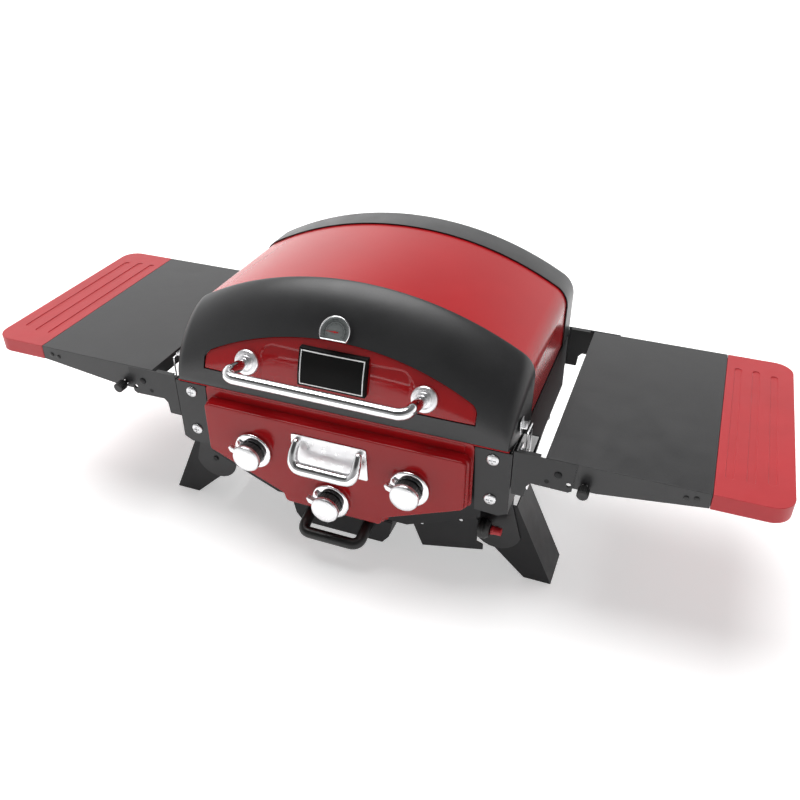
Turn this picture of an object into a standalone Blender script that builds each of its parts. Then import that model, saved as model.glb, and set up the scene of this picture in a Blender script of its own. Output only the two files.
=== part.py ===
"""Portable tabletop gas grill: folding shelves and legs, hinged lid, three push-and-turn burner
valves, sliding drip tray, draw latches.  Metres, +Z up, the front faces -Y, feet on z = 0.

Every part is modelled in the body frame, whose y = 0 is the middle of the shelves.  The empty
"grill" carries the body frame, so that the whole object is centred on the world origin."""

import math

import bmesh
import bpy
from mathutils import Matrix, Vector

# ---- driving dimensions -------------------------------------------------------------------------
Y_SHIFT = 0.0310            # from the body frame to the world: centres the object front to back
SHEET = 0.0015              # thickness of the folded steel
GAP = 0.0005                # between pieces that touch

SHELF_TOP = 0.256           # height of the shelves above the ground
SHELF_HALF_DEPTH = 0.1775
SHELF_PANEL_END_X = 0.4996
TRAY_START_X = 0.5001
TRAY_END_X = 0.593
TRAY_CORNER = 0.027
SHELF_PIVOT = (0.315, 0.2345)            # x, z
SHELF_LOCK = (0.350, 0.2235)             # x, z
LOCK_HOLES = ((0.3015, 0.2205), (0.3295, 0.2220))

FRONT_Y = -0.1805           # front plane of the end frames and of the panel's flange
BACK_Y = 0.172              # back plane of the end frames
PANEL_Y = -0.1995           # front face of the control panel
ARM_Y = 0.180               # outer plane of the shelf brackets' arms, front and back
WEB_X = 0.2545              # outer plane of the end frames

BOX_FRONT, BOX_BACK = -0.130, 0.160      # firebox walls
BOX_TOP = 0.2505
LEDGE_Z = 0.2365            # ledge that the grate lies on
KNEE_Z = 0.150              # where the firebox starts to slope inwards
FLOOR_Z = 0.082
FLOOR_HALF = 0.085

LID_BASE = 0.2535
LID_HALF = 0.2575           # half width of the end caps
LID_TOP = 0.415
DOME_R = 0.490
SHOULDER_R = 0.0375
SEAM_FRONT, SEAM_BACK = -0.095, 0.1175   # where the caps meet the red sheet
LID_FRONT, LID_BACK = -0.180, 0.175
SHEET_STEP = 0.0025         # the red sheet lies this much below the caps
CAP_SKIN = 0.0018
NOSE_POWER = 1.56           # squareness of the front cap's roll
FACE_HALF, FACE_TOP, FACE_R, FACE_SHOULDER = 0.2475, 0.295, 1.0, 0.012
HINGE = (0.1800, 0.2520)                 # y, z of the lid's hinge

WINDOW_HALF, WINDOW_LOW, WINDOW_SIDE, WINDOW_TOP = 0.2025, 0.281, 0.304, 0.3552
KNOB_PLACES = {"left": (-0.121, 0.172), "middle": (0.0, 0.113), "right": (0.121, 0.172)}
LEG_PIVOT = (0.2335, 0.083)              # x, z
LEG_FRONT_Y, LEG_BACK_Y = -0.1385, 0.1655
LATCH_Y = -0.1470
LATCH_PIVOT = (0.2640, 0.2260)           # x, z
BAIL_PIVOT = (0.2672, 0.2080)            # x, z
GAUGE = (0.0, -0.1570, 0.3673)
GAUGE_TILT = math.radians(35.5)          # the gauge leans back by this much
ROSE_TILT = math.radians(17.0)
REGULATOR = (0.212, -0.160, 0.0965)

SIDES = {"left": -1, "right": 1}

for old in list(bpy.data.objects):
    bpy.data.objects.remove(old, do_unlink=True)


# ---- materials ----------------------------------------------------------------------------------
def material(name, colour, roughness, metallic=0.0):
    made = bpy.data.materials.new(name)
    made.use_nodes = True
    shader = made.node_tree.nodes["Principled BSDF"]
    shader.inputs["Base Color"].default_value = (*colour, 1.0)
    shader.inputs["Roughness"].default_value = roughness
    shader.inputs["Metallic"].default_value = metallic
    return made


RED_GLOSS = material("red_gloss", (0.42, 0.012, 0.018), 0.15)
RED_PLASTIC = material("red_plastic", (0.60, 0.030, 0.045), 0.5)
CHARCOAL = material("charcoal", (0.035, 0.035, 0.037), 0.45)
BLACK_STEEL = material("black_steel", (0.022, 0.022, 0.023), 0.55)
BLACK_PLASTIC = material("black_plastic", (0.010, 0.010, 0.010), 0.4)
CHROME = material("chrome", (0.85, 0.85, 0.86), 0.08, 1.0)
STEEL = material("steel", (0.45, 0.45, 0.46), 0.35, 1.0)
ENAMEL = material("enamel", (0.015, 0.015, 0.015), 0.3)
NEEDLE = material("needle", (0.30, 0.010, 0.010), 0.5)


# ---- building blocks ----------------------------------------------------------------------------
def empty(name, location, parent=None):
    made = bpy.data.objects.new(name, None)
    made.location = location
    made.parent = parent
    bpy.context.scene.collection.objects.link(made)
    return made


GRILL = empty("grill", (0, Y_SHIFT, 0))


def finish(bm):
    """Welds shared corners and turns every face outwards."""
    bmesh.ops.remove_doubles(bm, verts=bm.verts, dist=1e-6)
    bmesh.ops.recalc_face_normals(bm, faces=bm.faces)
    return bm


def skin(loops, ring=False):
    """A solid whose skin runs over a row of loops with the same number of points."""
    bm = bmesh.new()
    rows = [[bm.verts.new(point) for point in loop] for loop in loops]
    pairs = list(zip(rows, rows[1:]))
    if ring:
        pairs.append((rows[-1], rows[0]))
    else:
        bm.faces.new(rows[0])
        bm.faces.new(rows[-1])
    for low, high in pairs:
        for i in range(len(low)):
            j = (i + 1) % len(low)
            bm.faces.new((low[i], low[j], high[j], high[i]))
    return finish(bm)


def lift(axis, point, value):
    """A 3-D point from a 2-D one: axis is the direction that the outline is extruded in."""
    a, b = point
    return {"X": (value, a, b), "Y": (a, value, b), "Z": (a, b, value)}[axis]


def plate(outline, axis, low, high, holes=()):
    """An outline, with holes, extruded along an axis from low to high."""
    bm = bmesh.new()
    caps = {low: [], high: []}
    for loop in (outline, *holes):
        rows = {}
        for value, edges in caps.items():
            rows[value] = [bm.verts.new(lift(axis, p, value)) for p in loop]
            count = len(loop)
            edges += [bm.edges.new((rows[value][i], rows[value][(i + 1) % count])) for i in range(count)]
        for i in range(len(loop)):
            j = (i + 1) % len(loop)
            bm.faces.new((rows[low][i], rows[low][j], rows[high][j], rows[high][i]))
    for edges in caps.values():
        bmesh.ops.triangle_fill(bm, edges=edges, use_beauty=True)
    return finish(bm)


def block(low, high):
    """A box between two corners."""
    (x0, y0, z0), (x1, y1, z1) = low, high
    return plate([(x0, y0), (x1, y0), (x1, y1), (x0, y1)], "Z", z0, z1)


def circle(radius, count, centre=(0.0, 0.0)):
    step = 2 * math.pi / count
    return [(centre[0] + radius * math.cos(i * step), centre[1] + radius * math.sin(i * step))
            for i in range(count)]


def turned(profile, axis, centre, count=28, ring=False):
    """A round piece: profile holds (radius, place along the axis); centre is the axis in 2-D."""
    loops = [[lift(axis, p, place) for p in circle(max(radius, 0.0002), count, centre)]
             for radius, place in profile]
    return skin(loops, ring)


def swept(path, sides=12):
    """A rod along a path of (point, radius)."""
    points = [Vector(p) for p, _ in path]
    tangents = [(points[min(i + 1, len(points) - 1)] - points[max(i - 1, 0)]).normalized()
                for i in range(len(points))]
    normal = tangents[0].orthogonal().normalized()
    loops = []
    for (_, radius), point, tangent in zip(path, points, tangents):
        normal = (normal - tangent * normal.dot(tangent)).normalized()
        other = tangent.cross(normal)
        loops.append([point + radius * (a * normal + b * other) for a, b in circle(1.0, sides)])
    return skin(loops)


def tubed(path, wall, sides=12):
    """A tube along a path of (point, radius), open at its start and closed at its end."""
    outer = swept(path, sides)
    inner_path = [(p, r - wall) for p, r in path]
    first = Vector(path[0][0]) - (Vector(path[1][0]) - Vector(path[0][0])).normalized() * 0.002
    last = Vector(path[-1][0]) - (Vector(path[-1][0]) - Vector(path[-2][0])).normalized() * wall
    inner_path[0] = (first, path[0][1] - wall)
    inner_path[-1] = (last, path[-1][1] - wall)
    return outer, swept(inner_path, sides)


def bend(points, radius, steps=4):
    """Rounds the inner corners of a path of 3-D points."""
    made = [Vector(points[0])]
    for before, corner, after in zip(points, points[1:], points[2:]):
        before, corner, after = Vector(before), Vector(corner), Vector(after)
        start = corner + (before - corner).normalized() * radius
        end = corner + (after - corner).normalized() * radius
        for i in range(steps + 1):
            t = i / steps
            made.append((1 - t) ** 2 * start + 2 * t * (1 - t) * corner + t ** 2 * end)
    made.append(Vector(points[-1]))
    return made


def rounded(points, radius, steps=3):
    """Rounds the corners of a 2-D outline, each by the same radius or by its own."""
    radii = radius if isinstance(radius, (list, tuple)) else [radius] * len(points)
    made = []
    for i, corner in enumerate(points):
        if radii[i] == 0:
            made.append(tuple(corner))
            continue
        corner = Vector(corner)
        before, after = Vector(points[i - 1]), Vector(points[(i + 1) % len(points)])
        a, b = (before - corner).normalized(), (after - corner).normalized()
        half = a.angle(b) / 2
        reach = radii[i] / math.tan(half)
        centre = corner + (a + b).normalized() * (radii[i] / math.sin(half))
        start, end = corner + a * reach - centre, corner + b * reach - centre
        turn = start.angle_signed(end)
        for k in range(steps + 1):
            angle = -turn * k / steps
            spun = Vector((start.x * math.cos(angle) - start.y * math.sin(angle),
                           start.x * math.sin(angle) + start.y * math.cos(angle)))
            made.append(tuple(centre + spun))
    return made


def grown(points, amount):
    """A clockwise outline moved outwards by amount, corner by corner."""
    made = []
    for i, corner in enumerate(points):
        corner = Vector(corner)
        before, after = Vector(points[i - 1]), Vector(points[(i + 1) % len(points)])
        a, b = (corner - before).normalized(), (after - corner).normalized()
        out_a, out_b = Vector((-a.y, a.x)), Vector((-b.y, b.x))
        middle = (out_a + out_b).normalized()
        made.append(tuple(corner + middle * (amount / middle.dot(out_a))))
    return made


def mirrored(points):
    """An outline's right half, top to bottom, closed with its left half."""
    return points + [(-x, z) for x, z in reversed(points)]


def object_from(name, bm, skin_material=None):
    mesh = bpy.data.meshes.new(name)
    bm.to_mesh(mesh)
    bm.free()
    made = bpy.data.objects.new(name, mesh)
    bpy.context.scene.collection.objects.link(made)
    if skin_material:
        mesh.materials.append(skin_material)
        mesh.shade_smooth()
        mesh.set_sharp_from_angle(angle=math.radians(35))
    return made


def part(name, bm, skin_material, pivot=None, mirror=False):
    """A named part in the body frame, with its origin on its joint's axis."""
    if mirror:
        bmesh.ops.scale(bm, vec=(-1, 1, 1), verts=bm.verts)
        bmesh.ops.reverse_faces(bm, faces=bm.faces)
    pivot = Vector(pivot or (0, 0, 0))
    bmesh.ops.translate(bm, vec=-pivot, verts=bm.verts)
    made = object_from(name, bm, skin_material)
    made.parent = GRILL
    made.location = pivot
    return made


def boolean(target, bm, operation, mirror=False):
    """Joins a shape in the body frame to a part, or cuts it out."""
    if mirror:
        bmesh.ops.scale(bm, vec=(-1, 1, 1), verts=bm.verts)
        bmesh.ops.reverse_faces(bm, faces=bm.faces)
    bmesh.ops.translate(bm, vec=-target.location, verts=bm.verts)
    tool = object_from(f"{target.name}_tool_{len(target.modifiers)}", bm)
    tool.parent = GRILL
    tool.location = target.location
    tool.hide_render = True
    tool.display_type = "WIRE"
    change = target.modifiers.new(operation.lower(), "BOOLEAN")
    change.operation = operation
    change.solver = "EXACT"
    change.object = tool


def join(target, *shapes, mirror=False):
    for bm in shapes:
        boolean(target, bm, "UNION", mirror)


def cut(target, *shapes, mirror=False):
    for bm in shapes:
        boolean(target, bm, "DIFFERENCE", mirror)


def rect_loop(half, y0, y1, z):
    return [(-half, y0, z), (half, y0, z), (half, y1, z), (-half, y1, z)]


def tilted(bm, angle, centre):
    """Leans a shape that was built round the -Y axis back, about its centre."""
    turn = Matrix.Rotation(-angle, 4, "X")
    bmesh.ops.transform(bm, matrix=Matrix.Translation(centre) @ turn, verts=bm.verts)
    return bm


# ---- the lid's shape ----------------------------------------------------------------------------
def arch(half, top, dome, shoulder, base, dome_steps=16, shoulder_steps=6):
    """The lid's outline seen from the front: up the left side, over the dome, down the right."""
    dome_z = top - dome
    shoulder_x = half - shoulder
    shoulder_z = dome_z + math.sqrt((dome - shoulder) ** 2 - shoulder_x ** 2)
    lean = math.atan2(shoulder_x, shoulder_z - dome_z)
    points = [(-half, base)]
    for i in range(shoulder_steps + 1):
        angle = math.pi / 2 - (math.pi / 2 - lean) * i / shoulder_steps
        points.append((-shoulder_x - shoulder * math.sin(angle), shoulder_z + shoulder * math.cos(angle)))
    for i in range(1, dome_steps):
        angle = -lean + 2 * lean * i / dome_steps
        points.append((dome * math.sin(angle), dome_z + dome * math.cos(angle)))
    right = [(-x, z) for x, z in reversed(points[:shoulder_steps + 2])]
    return points + right


def cap_arch(inset=0.0, base=LID_BASE):
    return arch(LID_HALF - inset, LID_TOP - inset, DOME_R - inset, SHOULDER_R - inset, base)


def face_arch(inset=0.0, base=LID_BASE):
    return arch(FACE_HALF - inset, FACE_TOP - inset, FACE_R - inset, FACE_SHOULDER - inset * 0.5, base)


def nose_share(out):
    """How far the front cap has rolled in from its edge, where it has come out by a share."""
    return 1 - (1 - out ** NOSE_POWER) ** (1 / NOSE_POWER)


def front_cap_loops(inset=0.0, base=LID_BASE, steps=8, start=SEAM_FRONT):
    """Loops of the front cap, from its seam to its flat face."""
    edge, face = cap_arch(inset, base), face_arch(inset, base)
    loops = [[(x, start, z) for x, z in edge]]
    outs = [0.0, 0.035] + [math.sin(math.pi / 2 * i / steps) for i in range(1, steps + 1)]
    for out in outs:
        share = nose_share(out)
        y = SEAM_FRONT + (LID_FRONT + inset - SEAM_FRONT) * out
        loops.append([((1 - share) * a + share * c, y, (1 - share) * b + share * d)
                      for (a, b), (c, d) in zip(edge, face)])
    return loops if start != SEAM_FRONT else loops[1:]


def drop(x, radius):
    return radius - math.sqrt(radius ** 2 - x ** 2)


def front_y(x, z, inset=0.0):
    """The front cap's surface at a place in the front view."""
    top = LID_TOP - inset - drop(x, DOME_R - inset)
    face = FACE_TOP - inset - drop(x, FACE_R - inset)
    share = min(max((top - z) / (top - face), 0.0), 1.0)
    out = (1 - (1 - share) ** NOSE_POWER) ** (1 / NOSE_POWER)
    return SEAM_FRONT + (LID_FRONT + inset - SEAM_FRONT) * out


def window_top(x, inset=0.0):
    """Upper edge of the opening in the front cap: an arc through its crown and its side corners."""
    half, rise = WINDOW_HALF, WINDOW_TOP - WINDOW_SIDE
    radius = (half ** 2 + rise ** 2) / (2 * rise)
    return WINDOW_TOP - inset - drop(x, radius)


def window(inset=0.0, steps=14):
    half = WINDOW_HALF - inset
    low = WINDOW_LOW + inset
    top = [(half * (1 - 2 * i / steps), window_top(half * (1 - 2 * i / steps), inset))
           for i in range(steps + 1)]
    return [(-half, low), (half, low)] + top


def front_sheet(columns, rows, inset, depth, thickness):
    """A sheet that follows the front cap inside the window, depth below the cap's surface."""
    half = WINDOW_HALF - inset
    low = WINDOW_LOW + inset
    grid = []
    for i in range(columns + 1):
        x = half * (2 * i / columns - 1)
        top = window_top(x, inset)
        grid.append([(x, low + (top - low) * j / rows) for j in range(rows + 1)])
    bm = bmesh.new()
    front = [[bm.verts.new((x, front_y(x, z) + depth, z)) for x, z in column] for column in grid]
    back = [[bm.verts.new((x, front_y(x, z) + depth + thickness, z)) for x, z in column] for column in grid]
    for i in range(columns):
        for j in range(rows):
            for side in (front, back):
                bm.faces.new((side[i][j], side[i + 1][j], side[i + 1][j + 1], side[i][j + 1]))
    rim = [(i, 0) for i in range(columns)] + [(columns, j) for j in range(rows)]
    rim += [(i, rows) for i in range(columns, 0, -1)] + [(0, j) for j in range(rows, 0, -1)]
    for k, (i, j) in enumerate(rim):
        m, n = rim[(k + 1) % len(rim)]
        bm.faces.new((front[i][j], front[m][n], back[m][n], back[i][j]))
    return finish(bm)


# ---- firebox, burners and cooking surfaces ------------------------------------------------------
def make_firebox():
    low_half, high_half, rim_half = 0.2415, 0.2485, 0.2522
    joggle = 0.0065                       # the lower trough is narrower, which makes the ledge
    f, b, t = BOX_FRONT, BOX_BACK, SHEET
    loops = [
        rect_loop(FLOOR_HALF, f + joggle, b - joggle, FLOOR_Z),
        rect_loop(low_half, f + joggle, b - joggle, KNEE_Z),
        rect_loop(low_half, f + joggle, b - joggle, LEDGE_Z - t),
        rect_loop(high_half, f, b, LEDGE_Z - t),
        rect_loop(high_half, f, b, BOX_TOP - t),
        rect_loop(rim_half, -0.176, BACK_Y - 0.0020, BOX_TOP - t),
        rect_loop(rim_half, -0.176, BACK_Y - 0.0020, BOX_TOP),
        rect_loop(high_half - t, f + t, b - t, BOX_TOP),
        rect_loop(high_half - t, f + t, b - t, LEDGE_Z),
        rect_loop(low_half - t, f + joggle + t, b - joggle - t, LEDGE_Z),
        rect_loop(low_half - t, f + joggle + t, b - joggle - t, KNEE_Z + 0.001),
        rect_loop(FLOOR_HALF, f + joggle + t, b - joggle - t, FLOOR_Z + t),
    ]
    firebox = part("firebox", skin(loops), ENAMEL)
    cut(firebox, block((-0.03, -0.03, 0.07), (0.03, 0.03, 0.1)))
    for x, z in KNOB_PLACES.values():
        cut(firebox, plate(circle(0.0125, 16, (x, z)), "Y", -0.14, -0.10))
    for i in range(5):
        x = 0.09 * (i - 2)
        slot = rounded([(x - 0.03, 0.205), (x + 0.03, 0.205), (x + 0.03, 0.213), (x - 0.03, 0.213)], 0.0039)
        cut(firebox, plate(slot, "Y", 0.13, 0.17))


def make_burners():
    pipe, wall, mouth, back = 0.011, 0.001, -0.1435, 0.140
    for side, (x, z) in KNOB_PLACES.items():
        level = KNOB_PLACES["left"][1]
        corners = [(x, mouth, z), (x, -0.105, z), (x, -0.065, level), (x, back, level)]
        path = bend(corners, 0.012) if z != level else [corners[0], corners[-1]]
        outer, inner = tubed([(p, pipe) for p in path], wall)
        burner = part(f"burner_{side}", outer, STEEL)
        cut(burner, inner)


def make_heat_plate():
    low, high, half, thick = 0.200, 0.222, 0.235, 0.0012
    ridge = 0.040
    points = [(-half, low)]
    for x, _ in KNOB_PLACES.values():
        points += [(x - ridge, low), (x, high), (x + ridge, low)]
    points.append((half, low))
    outline = points + [(x, z - thick) for x, z in reversed(points)]
    part("heat_plate", plate(outline, "Y", -0.10, 0.13), STEEL)


def slots(x0, x1, y0, y1, count, bar):
    """A row of slots with bars between them, all along Y."""
    pitch = (x1 - x0 + bar) / count
    width = pitch - bar
    return [[(x0 + i * pitch, y0), (x0 + i * pitch + width, y0),
             (x0 + i * pitch + width, y1), (x0 + i * pitch, y1)] for i in range(count)]


def make_grate():
    half, y0, y1 = 0.2460, BOX_FRONT + 0.003, BOX_BACK - 0.003
    z = LEDGE_Z + GAP
    border, middle = 0.010, (y0 + y1) / 2
    holes = slots(-half + border, half - border, y0 + border, middle - 0.003, 20, 0.0065)
    holes += slots(-half + border, half - border, middle + 0.003, y1 - border, 20, 0.0065)
    outline = [(-half, y0), (half, y0), (half, y1), (-half, y1)]
    part("cooking_grate", plate(outline, "Z", z, z + 0.0055, holes), ENAMEL)


def make_warming_rack():
    half, y0, y1, z, thick = 0.205, 0.035, 0.120, 0.318, 0.004
    foot_x, foot_z = 0.2490, BOX_TOP + GAP
    holes = slots(-half + 0.008, half - 0.008, y0 + 0.008, y1 - 0.008, 14, 0.006)
    outline = [(-half, y0), (half, y0), (half, y1), (-half, y1)]
    rack = part("warming_rack", plate(outline, "Z", z, z + thick, holes), STEEL)
    leg = [(half - 0.006, z + 0.002), (half - 0.001, z + 0.003), (foot_x + 0.002, foot_z + 0.004),
           (foot_x + 0.002, foot_z), (foot_x - 0.001, foot_z), (foot_x - 0.001, foot_z + 0.004)]
    for mirror in (False, True):
        join(rack, plate(leg, "Y", 0.055, 0.100), mirror=mirror)


# ---- gas line -----------------------------------------------------------------------------------
def make_gas_line():
    y = -0.1565
    places = [(-0.121, 0.172), (-0.055, 0.122), (0.0, 0.113), (0.055, 0.122), (0.121, 0.172),
              (0.168, 0.168), (0.196, 0.128), (0.206, 0.093)]
    path = bend([(x, y, z) for x, z in places], 0.010, 3) + [Vector((REGULATOR[0] - GAP, y, 0.093))]
    manifold = part("gas_manifold", swept([(p, 0.005) for p in path], 10), STEEL)
    for x, z in KNOB_PLACES.values():
        body = [(0.0035, -0.1445), (0.0035, -0.150), (0.009, -0.151), (0.009, -0.1680)]
        join(manifold, turned(body, "Y", (x, z), 14))


def make_regulator():
    x, y, z = REGULATOR
    body = [(0.011, x), (0.0150, x + 0.003), (0.0150, x + 0.0100), (0.0110, x + 0.0160),
            (0.0045, x + 0.0170), (0.0045, x + 0.0290)]
    part("regulator", turned(body, "X", (y, z), 20), BLACK_PLASTIC)
    start = x + 0.0175
    cap = [(0.0050, start + 0.0120), (0.0050, start), (0.0068, start), (0.0062, start + 0.0155)]
    part("regulator_cap", turned(cap, "X", (y, z), 16), RED_PLASTIC, (start, y, z))
    outline = [(0.114, 0.160), (0.114, 0.0765), (0.129, 0.0385), (0.2205, 0.0600), (0.2205, 0.0700),
               (0.2110, 0.0735), (0.2110, 0.1130), (0.2000, 0.1255), (0.2000, 0.160)]
    holes = [circle(0.003, 10, (0.127, 0.0805)), circle(0.003, 10, (0.186, 0.105))]
    part("regulator_bracket", plate(outline, "Y", -0.1655, -0.1640, holes), BLACK_STEEL)


# ---- control panel ------------------------------------------------------------------------------
PANEL_FACE = mirrored([(0.1965, 0.2345), (0.1965, 0.1545), (0.0785, 0.1035), (0.0745, 0.0895)])
# the outline runs clockwise seen from the front, which grown() needs


def panel_loop(amount, y, top=None):
    outline = grown(PANEL_FACE, amount)
    if top is not None:
        outline[0] = (outline[0][0], top)
        outline[-1] = (outline[-1][0], top)
    radii = [0.004] * len(outline)
    return [(x, y, z) for x, z in rounded(outline, radii, 2)]


def make_control_panel():
    flange_top = 0.2531
    t = SHEET
    loops = [
        panel_loop(-0.003, PANEL_Y + t),
        panel_loop(-0.001, PANEL_Y + 0.010, 0.2325),
        panel_loop(0.003, PANEL_Y + 0.011, 0.2335),
        panel_loop(0.003, FRONT_Y + t, 0.2335),
        panel_loop(0.0068, FRONT_Y + t, flange_top),
        panel_loop(0.0068, FRONT_Y, flange_top),
        panel_loop(0.0050, FRONT_Y, 0.2350),
        panel_loop(0.0050, PANEL_Y + 0.009, 0.2350),
        panel_loop(0.0015, PANEL_Y + 0.008, 0.2350),
        panel_loop(0.0012, PANEL_Y + 0.0012, 0.2350),
        panel_loop(0.0, PANEL_Y),
    ]
    panel = part("control_panel", skin(loops), RED_GLOSS)
    join(panel, block((-0.2495, FRONT_Y + 0.0002, 0.2514), (0.2495, -0.1725, 0.2529)))
    for x, z in KNOB_PLACES.values():
        cut(panel, plate(circle(0.013, 16, (x, z)), "Y", -0.21, -0.19))


def make_backplate():
    outline = mirrored([(0.215, 0.2475), (0.215, 0.1395), (0.0930, 0.0815), (0.084, 0.0755)])
    holes = [circle(0.010, 14, place) for place in KNOB_PLACES.values()]
    part("panel_backplate", plate(outline, "Y", -0.1715, -0.1700, holes), BLACK_STEEL)


def make_knobs():
    for side, (x, z) in KNOB_PLACES.items():
        bezel = [(0.0060, PANEL_Y - GAP), (0.0290, PANEL_Y - GAP), (0.0290, -0.2035),
                 (0.0272, -0.2062), (0.0235, -0.2066), (0.0212, -0.2045), (0.0205, -0.2022),
                 (0.0060, -0.2022)]
        part(f"knob_bezel_{side}", turned(bezel, "Y", (x, z), 28, ring=True), CHROME)
        stem = [(0.0030, -0.1685), (0.0030, -0.2190)]
        part(f"valve_stem_{side}", turned(stem, "Y", (x, z), 12), STEEL, (x, -0.2, z))
        knob = [(0.0036, -0.2235), (0.0036, -0.2078), (0.0185, -0.2078), (0.0185, -0.2195),
                (0.0203, -0.2203), (0.0203, -0.2245), (0.0180, -0.2272), (0.0110, -0.2284),
                (0.0030, -0.2288)]
        made = part(f"burner_knob_{side}", turned(knob, "Y", (x, z), 28), BLACK_PLASTIC, (x, -0.2, z))
        fin = [(x - 0.0170, z + 0.0025), (x - 0.0170, z - 0.0010), (x - 0.0295, z + 0.0045),
               (x - 0.0300, z + 0.0070)]
        join(made, plate(fin, "Y", -0.2185, -0.2115))


def make_carry_handle():
    back, front = PANEL_Y - GAP, PANEL_Y - 0.002
    outline = [(-0.0570, 0.2185), (0.0570, 0.2185), (0.0590, 0.1660), (-0.0590, 0.1660)]
    handle = part("carry_handle", plate(outline, "Y", front, back), CHROME)
    arm, bar = 0.0056, 0.0092
    half = [((0.0475, front + 0.0005, 0.2085), arm), ((0.0475, front - 0.0035, 0.2083), arm),
            ((0.0478, -0.2090, 0.2045), 0.0060),
            ((0.0480, -0.2155, 0.1965), 0.0068), ((0.0465, -0.2205, 0.1865), 0.0078),
            ((0.0410, -0.2225, 0.1795), 0.0088), ((0.0320, -0.2230, 0.1775), bar)]
    other = [((-p[0], p[1], p[2]), r) for p, r in reversed(half)]
    join(handle, swept(half + other, 12))


# ---- frames, shelves and legs -------------------------------------------------------------------
def bracket_outline(reach):
    """Plate that hangs from an end frame and carries a leg's pivot in its round foot."""
    x, z = LEG_PIVOT
    foot = [(x + reach * math.cos(a), z + reach * math.sin(a))
            for a in (math.radians(-15 - 15 * i) for i in range(11))]
    side = min(0.2538, x + reach)
    return [(0.2300, 0.2000), (0.2538, 0.2000), (side, 0.1300)] + foot + [(x - reach, 0.105)]


def make_end_frames():
    outline = [(0.2042, 0.2503), (0.2544, 0.2503), (0.2538, 0.1500), (0.2415, 0.1435), (0.2080, 0.1455)]
    pivot_hole = circle(0.0046, 12, LEG_PIVOT)
    for side, sign in SIDES.items():
        mirror = sign < 0
        frame = part(f"{side}_end_frame", plate(outline, "Y", FRONT_Y, FRONT_Y + SHEET), BLACK_STEEL,
                     mirror=mirror)
        web = block((WEB_X - SHEET, FRONT_Y + 0.0002, 0.1500), (WEB_X, BACK_Y - 0.0002, 0.2505))
        rear = plate(outline, "Y", BACK_Y - SHEET, BACK_Y)
        brackets = [plate(bracket_outline(reach), "Y", y0, y0 + SHEET, [pivot_hole])
                    for reach, y0 in ((0.0365, LEG_FRONT_Y - 0.0020), (0.0105, LEG_BACK_Y + 0.0005))]
        join(frame, web, rear, *brackets, mirror=mirror)


def make_shelf_brackets():
    arm = [(0.2556, SHELF_TOP), (0.3375, SHELF_TOP), (0.3345, 0.2130), (0.3300, 0.2100),
           (0.2810, 0.2110), (0.2755, 0.2045), (0.2742, 0.1880), (0.2730, 0.1865), (0.2556, 0.1865)]
    holes = [circle(0.0035, 8, place) for place in LOCK_HOLES]
    for side, sign in SIDES.items():
        mirror = sign < 0
        bracket = part(f"{side}_shelf_bracket", plate(arm, "Y", -ARM_Y, -ARM_Y + SHEET, holes),
                       BLACK_STEEL, mirror=mirror)
        inner = ARM_Y - 0.0002
        join(bracket,
             plate(arm, "Y", ARM_Y - SHEET, ARM_Y, holes),
             block((0.2557, -inner, 0.1900), (0.2572, inner, 0.2510)),
             block((0.2559, -inner, 0.2497), (0.2795, -0.1700, 0.2512)),
             plate([(0.2559, LATCH_Y + 0.0190), (0.2795, LATCH_Y + 0.0190), (0.2795, 0.0100),
                    (0.2570, 0.1650), (0.2559, 0.1650)], "Z", 0.2497, 0.2512),
             block((0.2602, -inner, 0.2543), (0.2900, -0.1720, SHELF_TOP - 0.0002)),
             block((0.2602, 0.1720, 0.2543), (0.2900, inner, SHELF_TOP - 0.0002)),
             mirror=mirror)


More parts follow.
